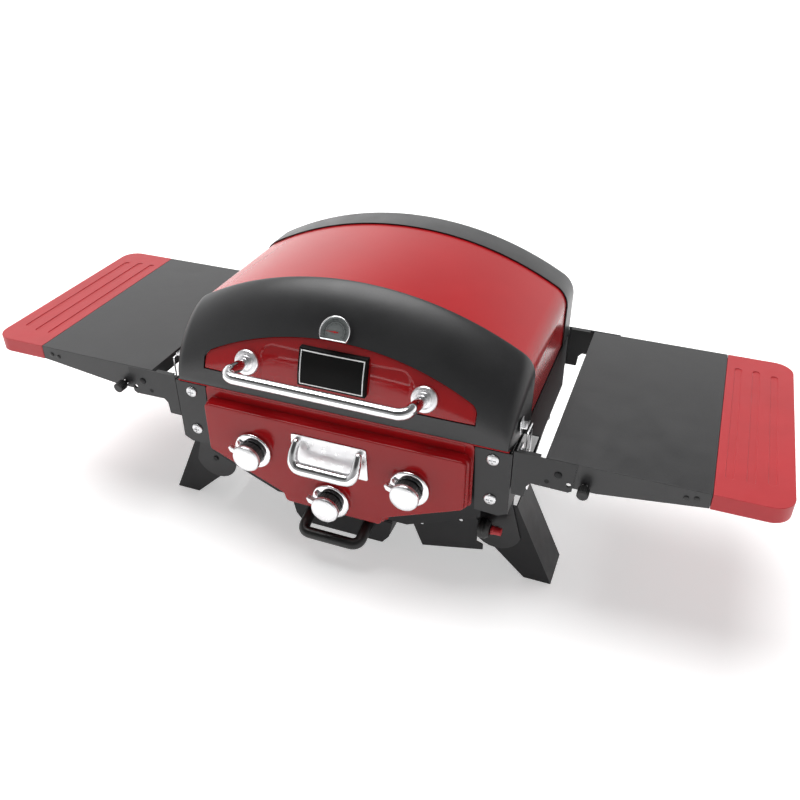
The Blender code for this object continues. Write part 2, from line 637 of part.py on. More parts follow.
def make_shelves():
    stations = [(0.2965, 0.2340), (0.3120, 0.2225), (0.3280, 0.2160), (0.3650, 0.2160),
                (SHELF_PANEL_END_X, 0.2335)]          # x and the skirt's lower edge there

    def pan(inset, top):
        xs = [x for x, _ in stations]
        xs[0] += inset
        xs[-1] -= inset
        zs = [z for _, z in stations]
        half = SHELF_HALF_DEPTH - inset
        ring = [(x, -half, z) for x, z in zip(xs, zs)] + [(x, half, z) for x, z in zip(xs[::-1], zs[::-1])]
        return [(x, y, top) for x, y, _ in ring], ring

    outer_top, outer_low = pan(0.0, SHELF_TOP)
    inner_top, inner_low = pan(SHEET, SHELF_TOP - SHEET)
    tray_outline = rounded([(TRAY_START_X, -SHELF_HALF_DEPTH), (TRAY_END_X, -SHELF_HALF_DEPTH),
                            (TRAY_END_X, SHELF_HALF_DEPTH), (TRAY_START_X, SHELF_HALF_DEPTH)],
                           [0, TRAY_CORNER, TRAY_CORNER, 0], 6)
    wall = 0.0025
    inner_half = SHELF_HALF_DEPTH - wall
    inner_outline = rounded([(TRAY_START_X + wall, -inner_half), (TRAY_END_X - wall, -inner_half),
                             (TRAY_END_X - wall, inner_half), (TRAY_START_X + wall, inner_half)],
                            [0, TRAY_CORNER - wall, TRAY_CORNER - wall, 0], 6)
    tray_low = SHELF_TOP - 0.023
    x, z = SHELF_PIVOT
    lock_x, lock_z = SHELF_LOCK
    for side, sign in SIDES.items():
        mirror = sign < 0
        pivot = (sign * x, 0, z)
        shelf = part(f"{side}_shelf", skin([outer_top, outer_low, inner_low, inner_top]), CHARCOAL,
                     pivot, mirror)
        cut(shelf, plate(circle(0.0038, 10, SHELF_LOCK), "Y", -0.19, -0.17),
            plate(circle(0.0035, 8, LOCK_HOLES[1]), "Y", -0.19, -0.17), mirror=mirror)
        tray = [[(a, b, SHELF_TOP) for a, b in tray_outline], [(a, b, tray_low) for a, b in tray_outline],
                [(a, b, tray_low) for a, b in inner_outline],
                [(a, b, SHELF_TOP - wall) for a, b in inner_outline]]
        part(f"{side}_tray_end", skin(tray), RED_PLASTIC, pivot, mirror)
        lock = [(0.0030, -0.1680), (0.0030, -0.1810), (0.0068, -0.1812), (0.0077, -0.1830),
                (0.0077, -0.1960), (0.0068, -0.1972)]
        part(f"{side}_shelf_lock", turned(lock, "Y", SHELF_LOCK, 16), BLACK_PLASTIC,
             (sign * lock_x, -0.181, lock_z), mirror)


def leg_flange(outer):
    """The strip along a leg plate's outer edge, seen from the front."""
    (x0, z0), (x1, z1) = outer
    return [(x0, z0), (x1, z1), (x1 - SHEET, z1), (x0 - SHEET, z0)]


def make_legs():
    """The front leg is splayed.  The rear leg of the same frame is upright and narrower."""
    x, z = LEG_PIVOT
    front, back = LEG_FRONT_Y, LEG_BACK_Y
    front_outer = [(0.2595, 0.1315), (0.3195, 0.0)]
    front_plate = front_outer + [(0.2790, 0.0), (0.1965, 0.0785), (0.1965, 0.1100), (0.2150, 0.1315)]
    back_outer = [(0.2500, 0.1300), (0.2270, 0.0)]
    back_plate = back_outer + [(0.2100, 0.0), (0.2050, 0.0785), (0.2050, 0.1100), (0.2200, 0.1300)]
    for side, sign in SIDES.items():
        mirror = sign < 0
        pivot = (sign * x, 0, z)
        leg = part(f"{side}_leg_front", plate(front_plate, "Y", front, front + SHEET), BLACK_STEEL,
                   pivot, mirror)
        join(leg, plate(leg_flange(front_outer), "Y", front + 0.0002, front + 0.066),
             block((0.2792, front + 0.0003, 0), (0.3190, front + 0.020, SHEET)),
             turned([(0.0040, front - 0.0040), (0.0040, front + 0.0005)], "Y", LEG_PIVOT, 12),
             mirror=mirror)
        leg = part(f"{side}_leg_back", plate(back_plate, "Y", back - SHEET, back), BLACK_STEEL,
                   pivot, mirror)
        join(leg, plate(leg_flange(back_outer), "Y", back - 0.040, back - 0.0002),
             block((0.2103, back - 0.020, 0), (0.2267, back - 0.0003, SHEET)),
             turned([(0.0040, front + SHEET + GAP), (0.0040, back + 0.0025)], "Y", LEG_PIVOT, 12),
             mirror=mirror)


# ---- drip tray ----------------------------------------------------------------------------------
def make_drip_tray():
    half, y0, y1, low, high, wall = 0.0785, -0.1690, 0.060, 0.045, 0.0708, 0.0012
    lip_half, lip_top = 0.0825, 0.0720
    pivot = (0, y0, low)
    lip_y0, lip_y1 = y0 - 0.0005, y1 + 0.0030
    loops = [rect_loop(half, y0, y1, low), rect_loop(half, y0, y1, high),
             rect_loop(lip_half, lip_y0, lip_y1, high), rect_loop(lip_half, lip_y0, lip_y1, lip_top),
             rect_loop(half - wall, y0 + wall, y1 - wall, lip_top),
             rect_loop(half - wall, y0 + wall, y1 - wall, low + wall)]
    tray = part("drip_tray", skin(loops), BLACK_STEEL, pivot)
    face = mirrored([(0.0830, 0.0690), (0.0770, 0.0410), (0.0660, 0.0265)])
    join(tray, plate(face, "Y", y0 - 0.0008, y0 + 0.0007))
    arm_x, bar_y, bar_z, root_z = 0.0460, -0.2130, 0.0500, 0.0600
    root_y = y0 - 0.0008 - GAP
    half_path = [(-arm_x, root_y, root_z), (-arm_x, root_y - 0.0120, root_z), (-arm_x, bar_y, bar_z)]
    corners = half_path + [(-x, y, z) for x, y, z in reversed(half_path)]
    path = [(p, 0.0085) for p in bend(corners, 0.0080, 4)]
    part("drip_tray_handle", swept(path, 12), BLACK_PLASTIC, (0, bar_y, bar_z))
    outer, inner, lip, low_z, top_z, t = 0.0860, 0.0848, 0.0795, 0.0690, 0.0810, 0.0012
    guide = mirrored([(outer, top_z), (outer, low_z), (lip, low_z), (lip, low_z + t),
                      (inner, low_z + t), (inner, top_z - t)])
    rails = part("drip_tray_guide", plate(guide, "Y", -0.120, 0.070), STEEL)
    cut(rails, block((-0.035, -0.035, 0.0750), (0.035, 0.035, 0.0850)))


# ---- lid ----------------------------------------------------------------------------------------
def make_lid():
    y, z = HINGE
    pivot = (0, y, z)
    outer = arch(LID_HALF - SHEET_STEP, LID_TOP - SHEET_STEP, DOME_R - SHEET_STEP,
                 SHOULDER_R - SHEET_STEP, LID_BASE)
    skin_in = SHEET_STEP + 0.0012
    inner = arch(LID_HALF - skin_in, LID_TOP - skin_in, DOME_R - skin_in, SHOULDER_R - skin_in, LID_BASE)
    y0, y1 = SEAM_FRONT - 0.002, SEAM_BACK + 0.008      # the sheet runs on under the caps
    sections = [[(a, y0, b), (a, y1, b), (c, y1, d), (c, y0, d)] for (a, b), (c, d) in zip(outer, inner)]
    part("lid_shell", skin(sections), RED_GLOSS, pivot)

    below, beyond = LID_BASE - 0.02, 0.01
    front = part("lid_front_cap", skin(front_cap_loops()), CHARCOAL, pivot)
    cut(front, skin(front_cap_loops(CAP_SKIN, below, start=SEAM_FRONT + beyond)))
    cut(front, plate(window(), "Y", -0.20, -0.13))
    stem_hole = turned([(0.0055, -0.02), (0.0055, 0.02)], "Y", (0, 0), 12)
    cut(front, tilted(stem_hole, GAUGE_TILT, GAUGE))

    def back_loops(inset, base, start, flat):
        roll = 0.012 - inset
        loops = [[(a, start, b) for a, b in cap_arch(inset, base)]]
        for i in range(5):
            angle = math.pi / 2 * i / 4
            shrink = inset + roll * (1 - math.cos(angle))
            yy = flat - roll + roll * math.sin(angle)
            loops.append([(a, yy, b) for a, b in cap_arch(shrink, base)])
        return loops

    back = part("lid_back_cap", skin(back_loops(0.0, LID_BASE, SEAM_BACK, LID_BACK)), CHARCOAL, pivot)
    cut(back, skin(back_loops(CAP_SKIN, below, SEAM_BACK - beyond, LID_BACK - CAP_SKIN)))

    part("lid_front_panel", front_sheet(16, 5, 0.0012, 0.0010, 0.0015), RED_GLOSS, pivot)
    heights = [0.2910 + 0.0520 * i / 4 for i in range(5)]
    side_view = [(front_y(0, h) - 0.0040, h) for h in heights]
    side_view += [(front_y(0, h) + 0.0002, h) for h in reversed(heights)]
    part("name_plate", plate(side_view, "X", -0.0500, 0.0500), BLACK_PLASTIC, pivot)


def make_lid_handle():
    rose_x, rose_z = 0.1312, 0.3048
    rose_y = front_y(rose_x, rose_z)
    pivot = (0, HINGE[0], HINGE[1])
    end_x, bar_y, bar_z, bend_r, bar_r = 0.1306, -0.2375, 0.3172, 0.0170, 0.0078
    for side, sign in SIDES.items():
        centre = Vector((sign * rose_x, rose_y, rose_z))
        profile = [(0.0185, -0.0006), (0.0185, -0.0022), (0.0165, -0.0038), (0.0118, -0.0044),
                   (0.0095, -0.0056), (0.0060, -0.0058)]
        part(f"handle_rose_{side}", tilted(turned(profile, "Y", (0, 0), 24), ROSE_TILT, centre), CHROME, pivot)
    half = [(Vector((rose_x, rose_y - 0.0088, rose_z + 0.0020)), bar_r)]
    for i in range(7):
        a = math.pi / 2 * i / 6
        reach = bend_r * (1 - math.sin(a))
        half.append((Vector((end_x - bend_r * (1 - math.cos(a)), bar_y + reach, bar_z)), bar_r))
    other = [(Vector((-p.x, p.y, p.z)), r) for p, r in reversed(half)]
    part("lid_handle", swept(half + other, 16), CHROME, pivot)


def clipped(radius, chord, count=28):
    """A circle cut off by a chord below its centre."""
    return [(x, max(z, -chord)) for x, z in circle(radius, count)]


def make_thermometer():
    def ring(radius, chord, y):
        return [(x, y, z) for x, z in clipped(radius, chord)]

    pivot = (0, HINGE[0], HINGE[1])
    loops = [ring(0.0194, 0.0094, -0.0055), ring(0.0197, 0.0097, -0.0076), ring(0.0208, 0.0108, -0.0084),
             ring(0.0220, 0.0120, -0.0074), ring(0.0220, 0.0120, -0.0046), ring(0.0040, 0.0040, -0.0044),
             ring(0.0040, 0.0040, 0.0300)]
    part("thermometer", tilted(skin(loops), GAUGE_TILT, GAUGE), CHROME, pivot)
    outline = [(-0.0110, 0.0004), (-0.0110, -0.0002), (0.0, -0.0012), (0.0045, -0.0008), (0.0045, 0.0008),
               (0.0, 0.0012)]
    needle = tilted(plate(outline, "Y", -0.0066, -0.0060), GAUGE_TILT, GAUGE)
    part("gauge_pointer", needle, NEEDLE, GAUGE)


def make_hinge():
    y, z = HINGE
    r = 0.0032

    def knuckle(x0, x1):
        return turned([(r, x0), (r, x1)], "X", (y, z), 14)

    base = part("hinge_base", block((-0.190, 0.1726, 0.2220), (0.190, 0.1741, 0.2485)), BLACK_STEEL)
    for x0, x1 in ((-0.1895, -0.1000), (0.1000, 0.1895)):
        join(base, block((x0, 0.1728, 0.2455), (x1, 0.1812, 0.2495)), knuckle(x0 + 0.0002, x1 - 0.0002))
    leaf = part("hinge_leaf", block((-0.0990, 0.1754, 0.2500), (0.0990, 0.1769, 0.2750)), BLACK_STEEL,
                (0, y, z))
    join(leaf, block((-0.0988, 0.1756, 0.2505), (0.0988, 0.1790, 0.2535)), knuckle(-0.0986, 0.0986))


def make_latches():
    y0, y1 = LATCH_Y - 0.0110, LATCH_Y + 0.0110
    face = 0.2572 + GAP
    ax, az = LATCH_PIVOT
    bx, bz = BAIL_PIVOT
    for side, sign in SIDES.items():
        mirror = sign < 0
        base = part(f"{side}_latch_base", block((face, y0, 0.1960), (face + 0.0015, y1, 0.2420)), CHROME,
                    mirror=mirror)
        ear = rounded([(face + 0.0010, az - 0.006), (ax + 0.0035, az - 0.006), (ax + 0.0035, az + 0.006),
                       (face + 0.0010, az + 0.006)], [0, 0.003, 0.003, 0], 2)
        join(base, plate(ear, "Y", y0 + 0.0001, y0 + 0.0016), plate(ear, "Y", y1 - 0.0016, y1 - 0.0001),
             mirror=mirror)
        lever = part(f"{side}_latch_lever",
                     plate([(ax + 0.0005, 0.2300), (ax + 0.0030, 0.2280), (0.2705, 0.1960),
                            (0.2735, 0.1800), (0.2720, 0.1800), (0.2690, 0.1950), (0.2625, 0.2225),
                            (0.2620, 0.2280)], "Y", y0 + 0.0021, y1 - 0.0021),
                     CHROME, (sign * ax, LATCH_Y, az), mirror)
        pocket = [(bx - 0.0022, bz - 0.0022), (bx + 0.0060, bz - 0.0022), (bx + 0.0060, bz + 0.0022),
                  (bx - 0.0022, bz + 0.0022)]
        cut(lever, plate(pocket, "Y", y0, y0 + 0.0045), plate(pocket, "Y", y1 - 0.0045, y1), mirror=mirror)
        out = 0.0128                       # half the bail's width
        corners = [(bx, LATCH_Y - 0.0070, bz), (bx, LATCH_Y - out, bz), (bx, LATCH_Y - out, 0.2740),
                   (bx, LATCH_Y + out, 0.2740), (bx, LATCH_Y + out, bz), (bx, LATCH_Y + 0.0070, bz)]
        path = [(p, 0.0012) for p in bend(corners, 0.0024, 2)]
        part(f"{side}_latch_bail", swept(path, 8), CHROME, (sign * bx, LATCH_Y, bz), mirror)
        lid_face = LID_HALF - 0.0018          # the cap's roll has begun here
        outer = lid_face + 0.0012
        hook = [(lid_face, 0.2660), (outer, 0.2660), (outer, 0.2760), (0.2640, 0.2765), (0.2652, 0.2790),
                (0.2645, 0.2810), (0.2620, 0.2785), (outer, 0.2780), (outer, 0.2860), (lid_face, 0.2860)]
        part(f"{side}_latch_keeper", plate(hook, "Y", LATCH_Y - 0.0080, LATCH_Y + 0.0080), CHROME,
             (0, HINGE[0], HINGE[1]), mirror)


make_firebox()
make_burners()
make_heat_plate()
make_grate()
make_warming_rack()
make_gas_line()
make_regulator()
make_control_panel()
make_backplate()
make_knobs()
make_carry_handle()
make_end_frames()
make_shelf_brackets()
make_shelves()
make_legs()
make_drip_tray()
make_lid()
make_lid_handle()
make_thermometer()
make_hinge()
make_latches()
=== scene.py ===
"""Looks of the portable tabletop gas grill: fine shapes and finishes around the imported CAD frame."""

import math

import bmesh
import bpy
from mathutils import Matrix, Vector


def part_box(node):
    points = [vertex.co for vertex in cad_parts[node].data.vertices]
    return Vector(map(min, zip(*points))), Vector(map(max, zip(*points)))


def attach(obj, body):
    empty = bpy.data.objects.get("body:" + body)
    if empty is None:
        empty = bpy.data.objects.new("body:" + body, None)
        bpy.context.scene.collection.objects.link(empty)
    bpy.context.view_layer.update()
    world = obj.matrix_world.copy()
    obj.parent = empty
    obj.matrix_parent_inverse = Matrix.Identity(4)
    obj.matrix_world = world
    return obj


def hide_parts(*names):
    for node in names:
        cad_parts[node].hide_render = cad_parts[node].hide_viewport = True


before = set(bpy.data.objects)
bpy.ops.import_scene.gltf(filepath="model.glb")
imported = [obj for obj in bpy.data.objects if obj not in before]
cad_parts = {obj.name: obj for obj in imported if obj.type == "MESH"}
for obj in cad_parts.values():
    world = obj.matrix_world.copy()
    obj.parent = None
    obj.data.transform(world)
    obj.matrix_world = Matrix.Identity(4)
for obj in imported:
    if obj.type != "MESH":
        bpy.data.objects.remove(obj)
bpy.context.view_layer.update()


# ---- places, from the frame ---------------------------------------------------------------------
def middle(node):
    low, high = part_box(node)
    return (low + high) / 2


Y_SHIFT = middle("left_shelf").y         # the shapes below have y = 0 at the middle of the shelves
SHELF_LOW, SHELF_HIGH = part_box("right_shelf")
CAP_LOW, CAP_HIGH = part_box("lid_front_cap")
BACK_CAP_LOW, BACK_CAP_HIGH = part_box("lid_back_cap")
KNOBS = {side: middle(f"knob_bezel_{side}") for side in ("left", "middle", "right")}
SIDES = {"left": -1, "right": 1}

# the lid's shape, in metres
LID_BASE = CAP_LOW.z
LID_HALF = CAP_HIGH.x
LID_TOP = CAP_HIGH.z
DOME_R = 0.490
SHOULDER_R = 0.0375
SEAM_FRONT = CAP_HIGH.y - Y_SHIFT
SEAM_BACK = BACK_CAP_LOW.y - Y_SHIFT
LID_FRONT = CAP_LOW.y - Y_SHIFT
LID_BACK = BACK_CAP_HIGH.y - Y_SHIFT
SHEET_STEP = CAP_HIGH.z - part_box("lid_shell")[1].z
SHEET_SKIN = 0.0012
CAP_SKIN = 0.0018
BACK_ROLL = 0.0125                       # the rounding of the back cap's edge
NOSE_POWER = 1.56                        # how full the front cap's curve is: 2 would be an ellipse
FACE_HALF, FACE_TOP, FACE_R, FACE_SHOULDER = 0.2475, 0.295, 1.0, 0.012
WINDOW_HALF, WINDOW_LOW, WINDOW_SIDE, WINDOW_TOP = 0.2025, 0.281, 0.304, 0.3552
WINDOW_CORNER = 0.0085
POCKET_HALF, POCKET_TOP, POCKET_DEPTH = 0.1130, 0.3355, 0.0018
POCKET_CORNER, POCKET_FILLET = 0.020, 0.0032
INSET_DEPTH = 0.0032                     # how far the red front panel lies behind the cap's surface
GAUGE = Vector((0.0, -0.1570, 0.3673))
GAUGE_TILT = math.radians(35.5)
GAUGE_FLAT = 0.0100                      # how much is cut off the gauge's round foot
ROSE_TILT = math.radians(17.0)

# the front and the shelves
PANEL_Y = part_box("control_panel")[0].y - Y_SHIFT
FRONT_Y = -0.1805
SHELF_TOP = SHELF_HIGH.z
SHELF_HALF = (SHELF_HIGH.y - SHELF_LOW.y) / 2
LOCK_X, LOCK_Z = 0.350, 0.2235


# ---- materials ----------------------------------------------------------------------------------
class Finish:
    """A Principled material with small helpers for its procedural detail."""

    def __init__(self, name, colour, roughness, metallic=0.0, **sockets):
        self.material = bpy.data.materials.new(name)
        self.material.use_nodes = True
        self.tree = self.material.node_tree
        self.shader = self.tree.nodes["Principled BSDF"]
        self.set("Base Color", (*colour, 1.0))
        self.set("Roughness", roughness)
        self.set("Metallic", metallic)
        for socket, value in sockets.items():
            self.set(socket.replace("_", " "), value)
        self.coordinates = self.tree.nodes.new("ShaderNodeTexCoord")
        self.colour = colour
        self.last_bump = None

    def set(self, socket, value):
        self.shader.inputs[socket].default_value = value

    def link(self, start, end):
        self.tree.links.new(start, end)

    def noise(self, scale, detail=3.0, rough=0.5, stretch=(1, 1, 1)):
        mapping = self.tree.nodes.new("ShaderNodeMapping")
        mapping.inputs["Scale"].default_value = stretch
        texture = self.tree.nodes.new("ShaderNodeTexNoise")
        texture.inputs["Scale"].default_value = scale
        texture.inputs["Detail"].default_value = detail
        texture.inputs["Roughness"].default_value = rough
        self.link(self.coordinates.outputs["Object"], mapping.inputs["Vector"])
        self.link(mapping.outputs["Vector"], texture.inputs["Vector"])
        return texture.outputs["Fac"]

    def spread(self, value, low, high):
        """Maps the middle of a noise's values to a range."""
        node = self.tree.nodes.new("ShaderNodeMapRange")
        node.inputs["From Min"].default_value = 0.3
        node.inputs["From Max"].default_value = 0.7
        node.inputs["To Min"].default_value = low
        node.inputs["To Max"].default_value = high
        self.link(value, node.inputs["Value"])
        return node.outputs["Result"]

    def vary_roughness(self, value, low, high):
        self.link(self.spread(value, low, high), self.shader.inputs["Roughness"])

    def vary_colour(self, value, dark, light):
        """Blends between a darker and a lighter shade of the colour."""
        node = self.tree.nodes.new("ShaderNodeMix")
        node.data_type = "RGBA"
        node.inputs["A"].default_value = (*[c * dark for c in self.colour], 1.0)
        node.inputs["B"].default_value = (*[min(c * light, 1.0) for c in self.colour], 1.0)
        self.link(self.spread(value, 0.0, 1.0), node.inputs["Factor"])
        self.link(node.outputs["Result"], self.shader.inputs["Base Color"])

    def bump(self, value, height, strength=1.0):
        node = self.tree.nodes.new("ShaderNodeBump")
        node.inputs["Distance"].default_value = height
        node.inputs["Strength"].default_value = strength
        self.link(value, node.inputs["Height"])
        if self.last_bump:
            self.link(self.last_bump, node.inputs["Normal"])
        self.last_bump = node.outputs["Normal"]
        self.link(self.last_bump, self.shader.inputs["Normal"])


def gloss_paint(name, colour, roughness, shine):
    """Sprayed gloss paint: faint orange peel and cloudiness."""
    made = Finish(name, colour, roughness, 0.0, Specular_IOR_Level=shine)
    made.vary_roughness(made.noise(35, 3), roughness * 0.94, roughness * 1.08)
    made.vary_colour(made.noise(9, 3), 0.95, 1.05)
    made.bump(made.noise(260, 1), 0.00001, 0.10)
    return made.material


def powder_coat(name, colour, roughness, grain, height, strength, **sockets):
    """Powder coat: a fine pebbled skin with light specks and rubbed patches."""
    made = Finish(name, colour, roughness, 0.0, **sockets)
    made.vary_roughness(made.noise(22, 5, 0.6), roughness * 0.88, roughness * 1.15)
    made.vary_colour(made.noise(grain * 1.4, 2), 0.80, 1.30)
    made.bump(made.noise(grain, 2), height, strength)
    made.bump(made.noise(60, 2), 0.00010, 0.15)
    return made.material


def moulded(name, colour, roughness):
    """Moulded plastic: a fine spark-eroded grain and a little unevenness."""
    made = Finish(name, colour, roughness, 0.0, Specular_IOR_Level=0.45)
    made.vary_roughness(made.noise(30, 4), roughness * 0.88, roughness * 1.12)
    made.vary_colour(made.noise(14, 3), 0.94, 1.06)
    made.bump(made.noise(1300, 3, 0.6), 0.0001, 0.35)
    return made.material


def bright_metal(name, colour, roughness, scale=60, strength=0.08):
    """Polished or plated metal: smears in its gloss and slight waviness."""
    made = Finish(name, colour, roughness, 1.0)
    made.vary_roughness(made.noise(scale, 5, 0.65), roughness * 0.7, roughness * 1.9)
    made.bump(made.noise(25, 2), 0.0002, strength)
    made.bump(made.noise(700, 2, 0.6), 0.00003, 0.25)
    return made.material


def brushed_metal(name, colour, roughness, along):
    """Brushed metal: long fine lines along one axis."""
    stretch = [1.0 if axis == along else 60.0 for axis in "XYZ"]
    made = Finish(name, colour, roughness, 1.0)
    lines = made.noise(14, 6, 0.7, stretch)
    made.vary_roughness(lines, roughness * 0.75, roughness * 1.35)
    made.vary_colour(lines, 0.86, 1.08)
    made.bump(lines, 0.00008, 0.5)
    return made.material


def cast_enamel(name, colour, roughness):
    """Enamelled cast iron: a lumpy casting skin under gloss."""
    made = Finish(name, colour, roughness, 0.0, Coat_Weight=0.4, Coat_Roughness=0.15)
    made.vary_roughness(made.noise(40, 5), roughness * 0.7, roughness * 1.4)
    made.vary_colour(made.noise(25, 5), 0.75, 1.35)
    made.bump(made.noise(240, 3), 0.0003, 0.5)
    return made.material


RED_LID = gloss_paint("red_lid", (0.43, 0.010, 0.014), 0.22, 0.24)
RED_PANEL = gloss_paint("red_panel", (0.29, 0.005, 0.007), 0.13, 0.34)
RED_INSET = gloss_paint("red_inset", (0.32, 0.006, 0.008), 0.13, 0.42)
RED_PLASTIC = moulded("red_plastic", (0.45, 0.018, 0.024), 0.42)
CHARCOAL = powder_coat("charcoal", (0.019, 0.019, 0.020), 0.36, 1100, 0.00008, 0.35)
SHELF_PAINT = powder_coat("shelf_paint", (0.022, 0.022, 0.023), 0.34, 1000, 0.0001, 0.35)
FRAME_PAINT = powder_coat("frame_paint", (0.010, 0.010, 0.011), 0.36, 950, 0.00010, 0.3,
                          Specular_IOR_Level=0.48)
BLACK_STEEL = powder_coat("black_steel", (0.008, 0.008, 0.009), 0.46, 950, 0.00012, 0.4,
                          Specular_IOR_Level=0.28)
BLACK_PLASTIC = moulded("black_plastic", (0.012, 0.012, 0.012), 0.38)
SATIN_BLACK = powder_coat("satin_black", (0.003, 0.003, 0.003), 0.55, 1600, 0.00004, 0.2,
                          Specular_IOR_Level=0.12)
CHROME = bright_metal("chrome", (0.86, 0.86, 0.87), 0.06)
SATIN_CHROME = bright_metal("satin_chrome", (0.84, 0.84, 0.85), 0.26)
TUBE_CHROME = bright_metal("tube_chrome", (0.85, 0.85, 0.86), 0.10)
BOLT_METAL = bright_metal("bolt_metal", (0.66, 0.66, 0.67), 0.22, 160, 0.2)
STEEL = brushed_metal("steel", (0.52, 0.52, 0.53), 0.34, "Y")
STEEL_X = brushed_metal("steel_x", (0.52, 0.52, 0.53), 0.34, "X")
ENAMEL = cast_enamel("enamel", (0.014, 0.014, 0.014), 0.32)
DIAL = brushed_metal("dial", (0.42, 0.45, 0.45), 0.36, "X")
INK = moulded("ink", (0.02, 0.022, 0.022), 0.5)
NEEDLE = moulded("needle", (0.42, 0.012, 0.012), 0.4)
PALE_LINE = moulded("pale_line", (0.85, 0.85, 0.85), 0.4)
# a near-black finish for painted shade, where the inside of a hole lies in shade
HOLE_SHADE = moulded("painted_hole_shade", (0.004, 0.004, 0.004), 0.7)


# ---- mesh helpers -------------------------------------------------------------------------------
def finish_mesh(bm):
    bmesh.ops.remove_doubles(bm, verts=bm.verts, dist=1e-6)
    bmesh.ops.recalc_face_normals(bm, faces=bm.faces)
    return bm


def skin(loops, ring=False):
    """A skin over a row of loops with the same number of points: closed at its ends, or a ring."""
    bm = bmesh.new()
    rows = [[bm.verts.new(point) for point in loop] for loop in loops]
    pairs = list(zip(rows, rows[1:]))
    if ring:
        pairs.append((rows[-1], rows[0]))
    else:
        bm.faces.new(rows[0])
        bm.faces.new(rows[-1])
    for low, high in pairs:
        for i in range(len(low)):
            j = (i + 1) % len(low)
            bm.faces.new((low[i], low[j], high[j], high[i]))
    return finish_mesh(bm)


def lift(axis, point, value):
    """A 2-D point put at a value along the axis that it lacks."""
    a, b = point
    return {"X": (value, a, b), "Y": (a, value, b), "Z": (a, b, value)}[axis]


def plate(outline, axis, low, high):
    """An outline extruded along an axis."""
    return skin([[lift(axis, point, value) for point in outline] for value in (low, high)])


def block(low, high):
    (x0, y0, z0), (x1, y1, z1) = low, high
    return plate([(x0, y0), (x1, y0), (x1, y1), (x0, y1)], "Z", z0, z1)


def circle(radius, count, centre=(0.0, 0.0)):
    step = 2 * math.pi / count
    return [(centre[0] + radius * math.cos(i * step), centre[1] + radius * math.sin(i * step))
            for i in range(count)]


def turned(profile, axis, centre, count=64, ring=False):
    """A round piece: profile holds (radius, place along the axis)."""
    loops = [[lift(axis, p, place) for p in circle(max(radius, 0.00005), count, centre)]
             for radius, place in profile]
    return skin(loops, ring)


def softened(profile, amount, steps=3):
    """Rounds the corners of an open profile or path."""
    made = [tuple(profile[0])]
    for before, corner, after in zip(profile, profile[1:], profile[2:]):
        before, corner, after = Vector(before), Vector(corner), Vector(after)
        reach = min(amount, (before - corner).length * 0.45, (after - corner).length * 0.45)
        start = corner + (before - corner).normalized() * reach
        end = corner + (after - corner).normalized() * reach
        for i in range(steps + 1):
            t = i / steps
            made.append(tuple((1 - t) ** 2 * start + 2 * t * (1 - t) * corner + t ** 2 * end))
    made.append(tuple(profile[-1]))
    return made


def swept(path, sides=24):
    """A rod along a path of (point, radius)."""
    points = [Vector(p) for p, _ in path]
    tangents = [(points[min(i + 1, len(points) - 1)] - points[max(i - 1, 0)]).normalized()
                for i in range(len(points))]
    normal = tangents[0].orthogonal().normalized()
    loops = []
    for (_, radius), point, tangent in zip(path, points, tangents):
        normal = (normal - tangent * normal.dot(tangent)).normalized()
        other = tangent.cross(normal)
        loops.append([point + radius * (a * normal + b * other) for a, b in circle(1.0, sides)])
    return skin(loops)


def smooth_path(points, steps=6):
    """A Catmull-Rom curve through (point, radius) pairs."""
    values = [Vector((*p, r)) for p, r in points]
    values = [2 * values[0] - values[1]] + values + [2 * values[-1] - values[-2]]
    made = []
    for i in range(1, len(values) - 2):
        a, b, c, d = values[i - 1:i + 3]
        for k in range(steps):
            t = k / steps
            point = 0.5 * (2 * b + (c - a) * t + (2 * a - 5 * b + 4 * c - d) * t ** 2
                           + (3 * b - a - 3 * c + d) * t ** 3)
            made.append((Vector(point[:3]), point[3]))
    made.append((Vector(values[-2][:3]), values[-2][3]))
    return made


def rounded(points, radius, steps=6):
    """Rounds the corners of a 2-D outline, each by the same radius or by its own."""
    radii = radius if isinstance(radius, (list, tuple)) else [radius] * len(points)
    made = []
    for i, corner in enumerate(points):
        if radii[i] == 0:
            made.append(tuple(corner))
            continue
        corner = Vector(corner)
        before, after = Vector(points[i - 1]), Vector(points[(i + 1) % len(points)])
        a, b = (before - corner).normalized(), (after - corner).normalized()
        half = a.angle(b) / 2
        reach = radii[i] / math.tan(half)
        centre = corner + (a + b).normalized() * (radii[i] / math.sin(half))
        start, end = corner + a * reach - centre, corner + b * reach - centre
        turn = start.angle_signed(end)
        for k in range(steps + 1):
            angle = -turn * k / steps
            made.append(tuple(centre + Vector((start.x * math.cos(angle) - start.y * math.sin(angle),
                                               start.x * math.sin(angle) + start.y * math.cos(angle)))))
    return made


def grown(points, amount):
    """A clockwise outline moved outwards, corner by corner."""
    made = []
    for i, corner in enumerate(points):
        corner = Vector(corner)
        before, after = Vector(points[i - 1]), Vector(points[(i + 1) % len(points)])
        a, b = (corner - before).normalized(), (after - corner).normalized()
        out_a, out_b = Vector((-a.y, a.x)), Vector((-b.y, b.x))
        middle_out = (out_a + out_b).normalized()
        made.append(tuple(corner + middle_out * (amount / middle_out.dot(out_a))))
    return made


def mirrored(points):
    """Half an outline with its mirror image."""
    return points + [(-x, z) for x, z in reversed(points)]


def merged(*parts):
    """Several meshes in one."""
    bm = bmesh.new()
    for other in parts:
        mesh = bpy.data.meshes.new("merging")
        other.to_mesh(mesh)
        other.free()
        bm.from_mesh(mesh)
        bpy.data.meshes.remove(mesh)
    return bm


def shifted(bm, centre):
    bmesh.ops.translate(bm, vec=centre, verts=bm.verts)
    return bm


def tilted(bm, angle, centre):
    """Leans a shape that was built round the -Y axis back, and moves it to its centre."""
    bmesh.ops.transform(bm, matrix=Matrix.Rotation(-angle, 4, "X"), verts=bm.verts)
    return shifted(bm, centre)


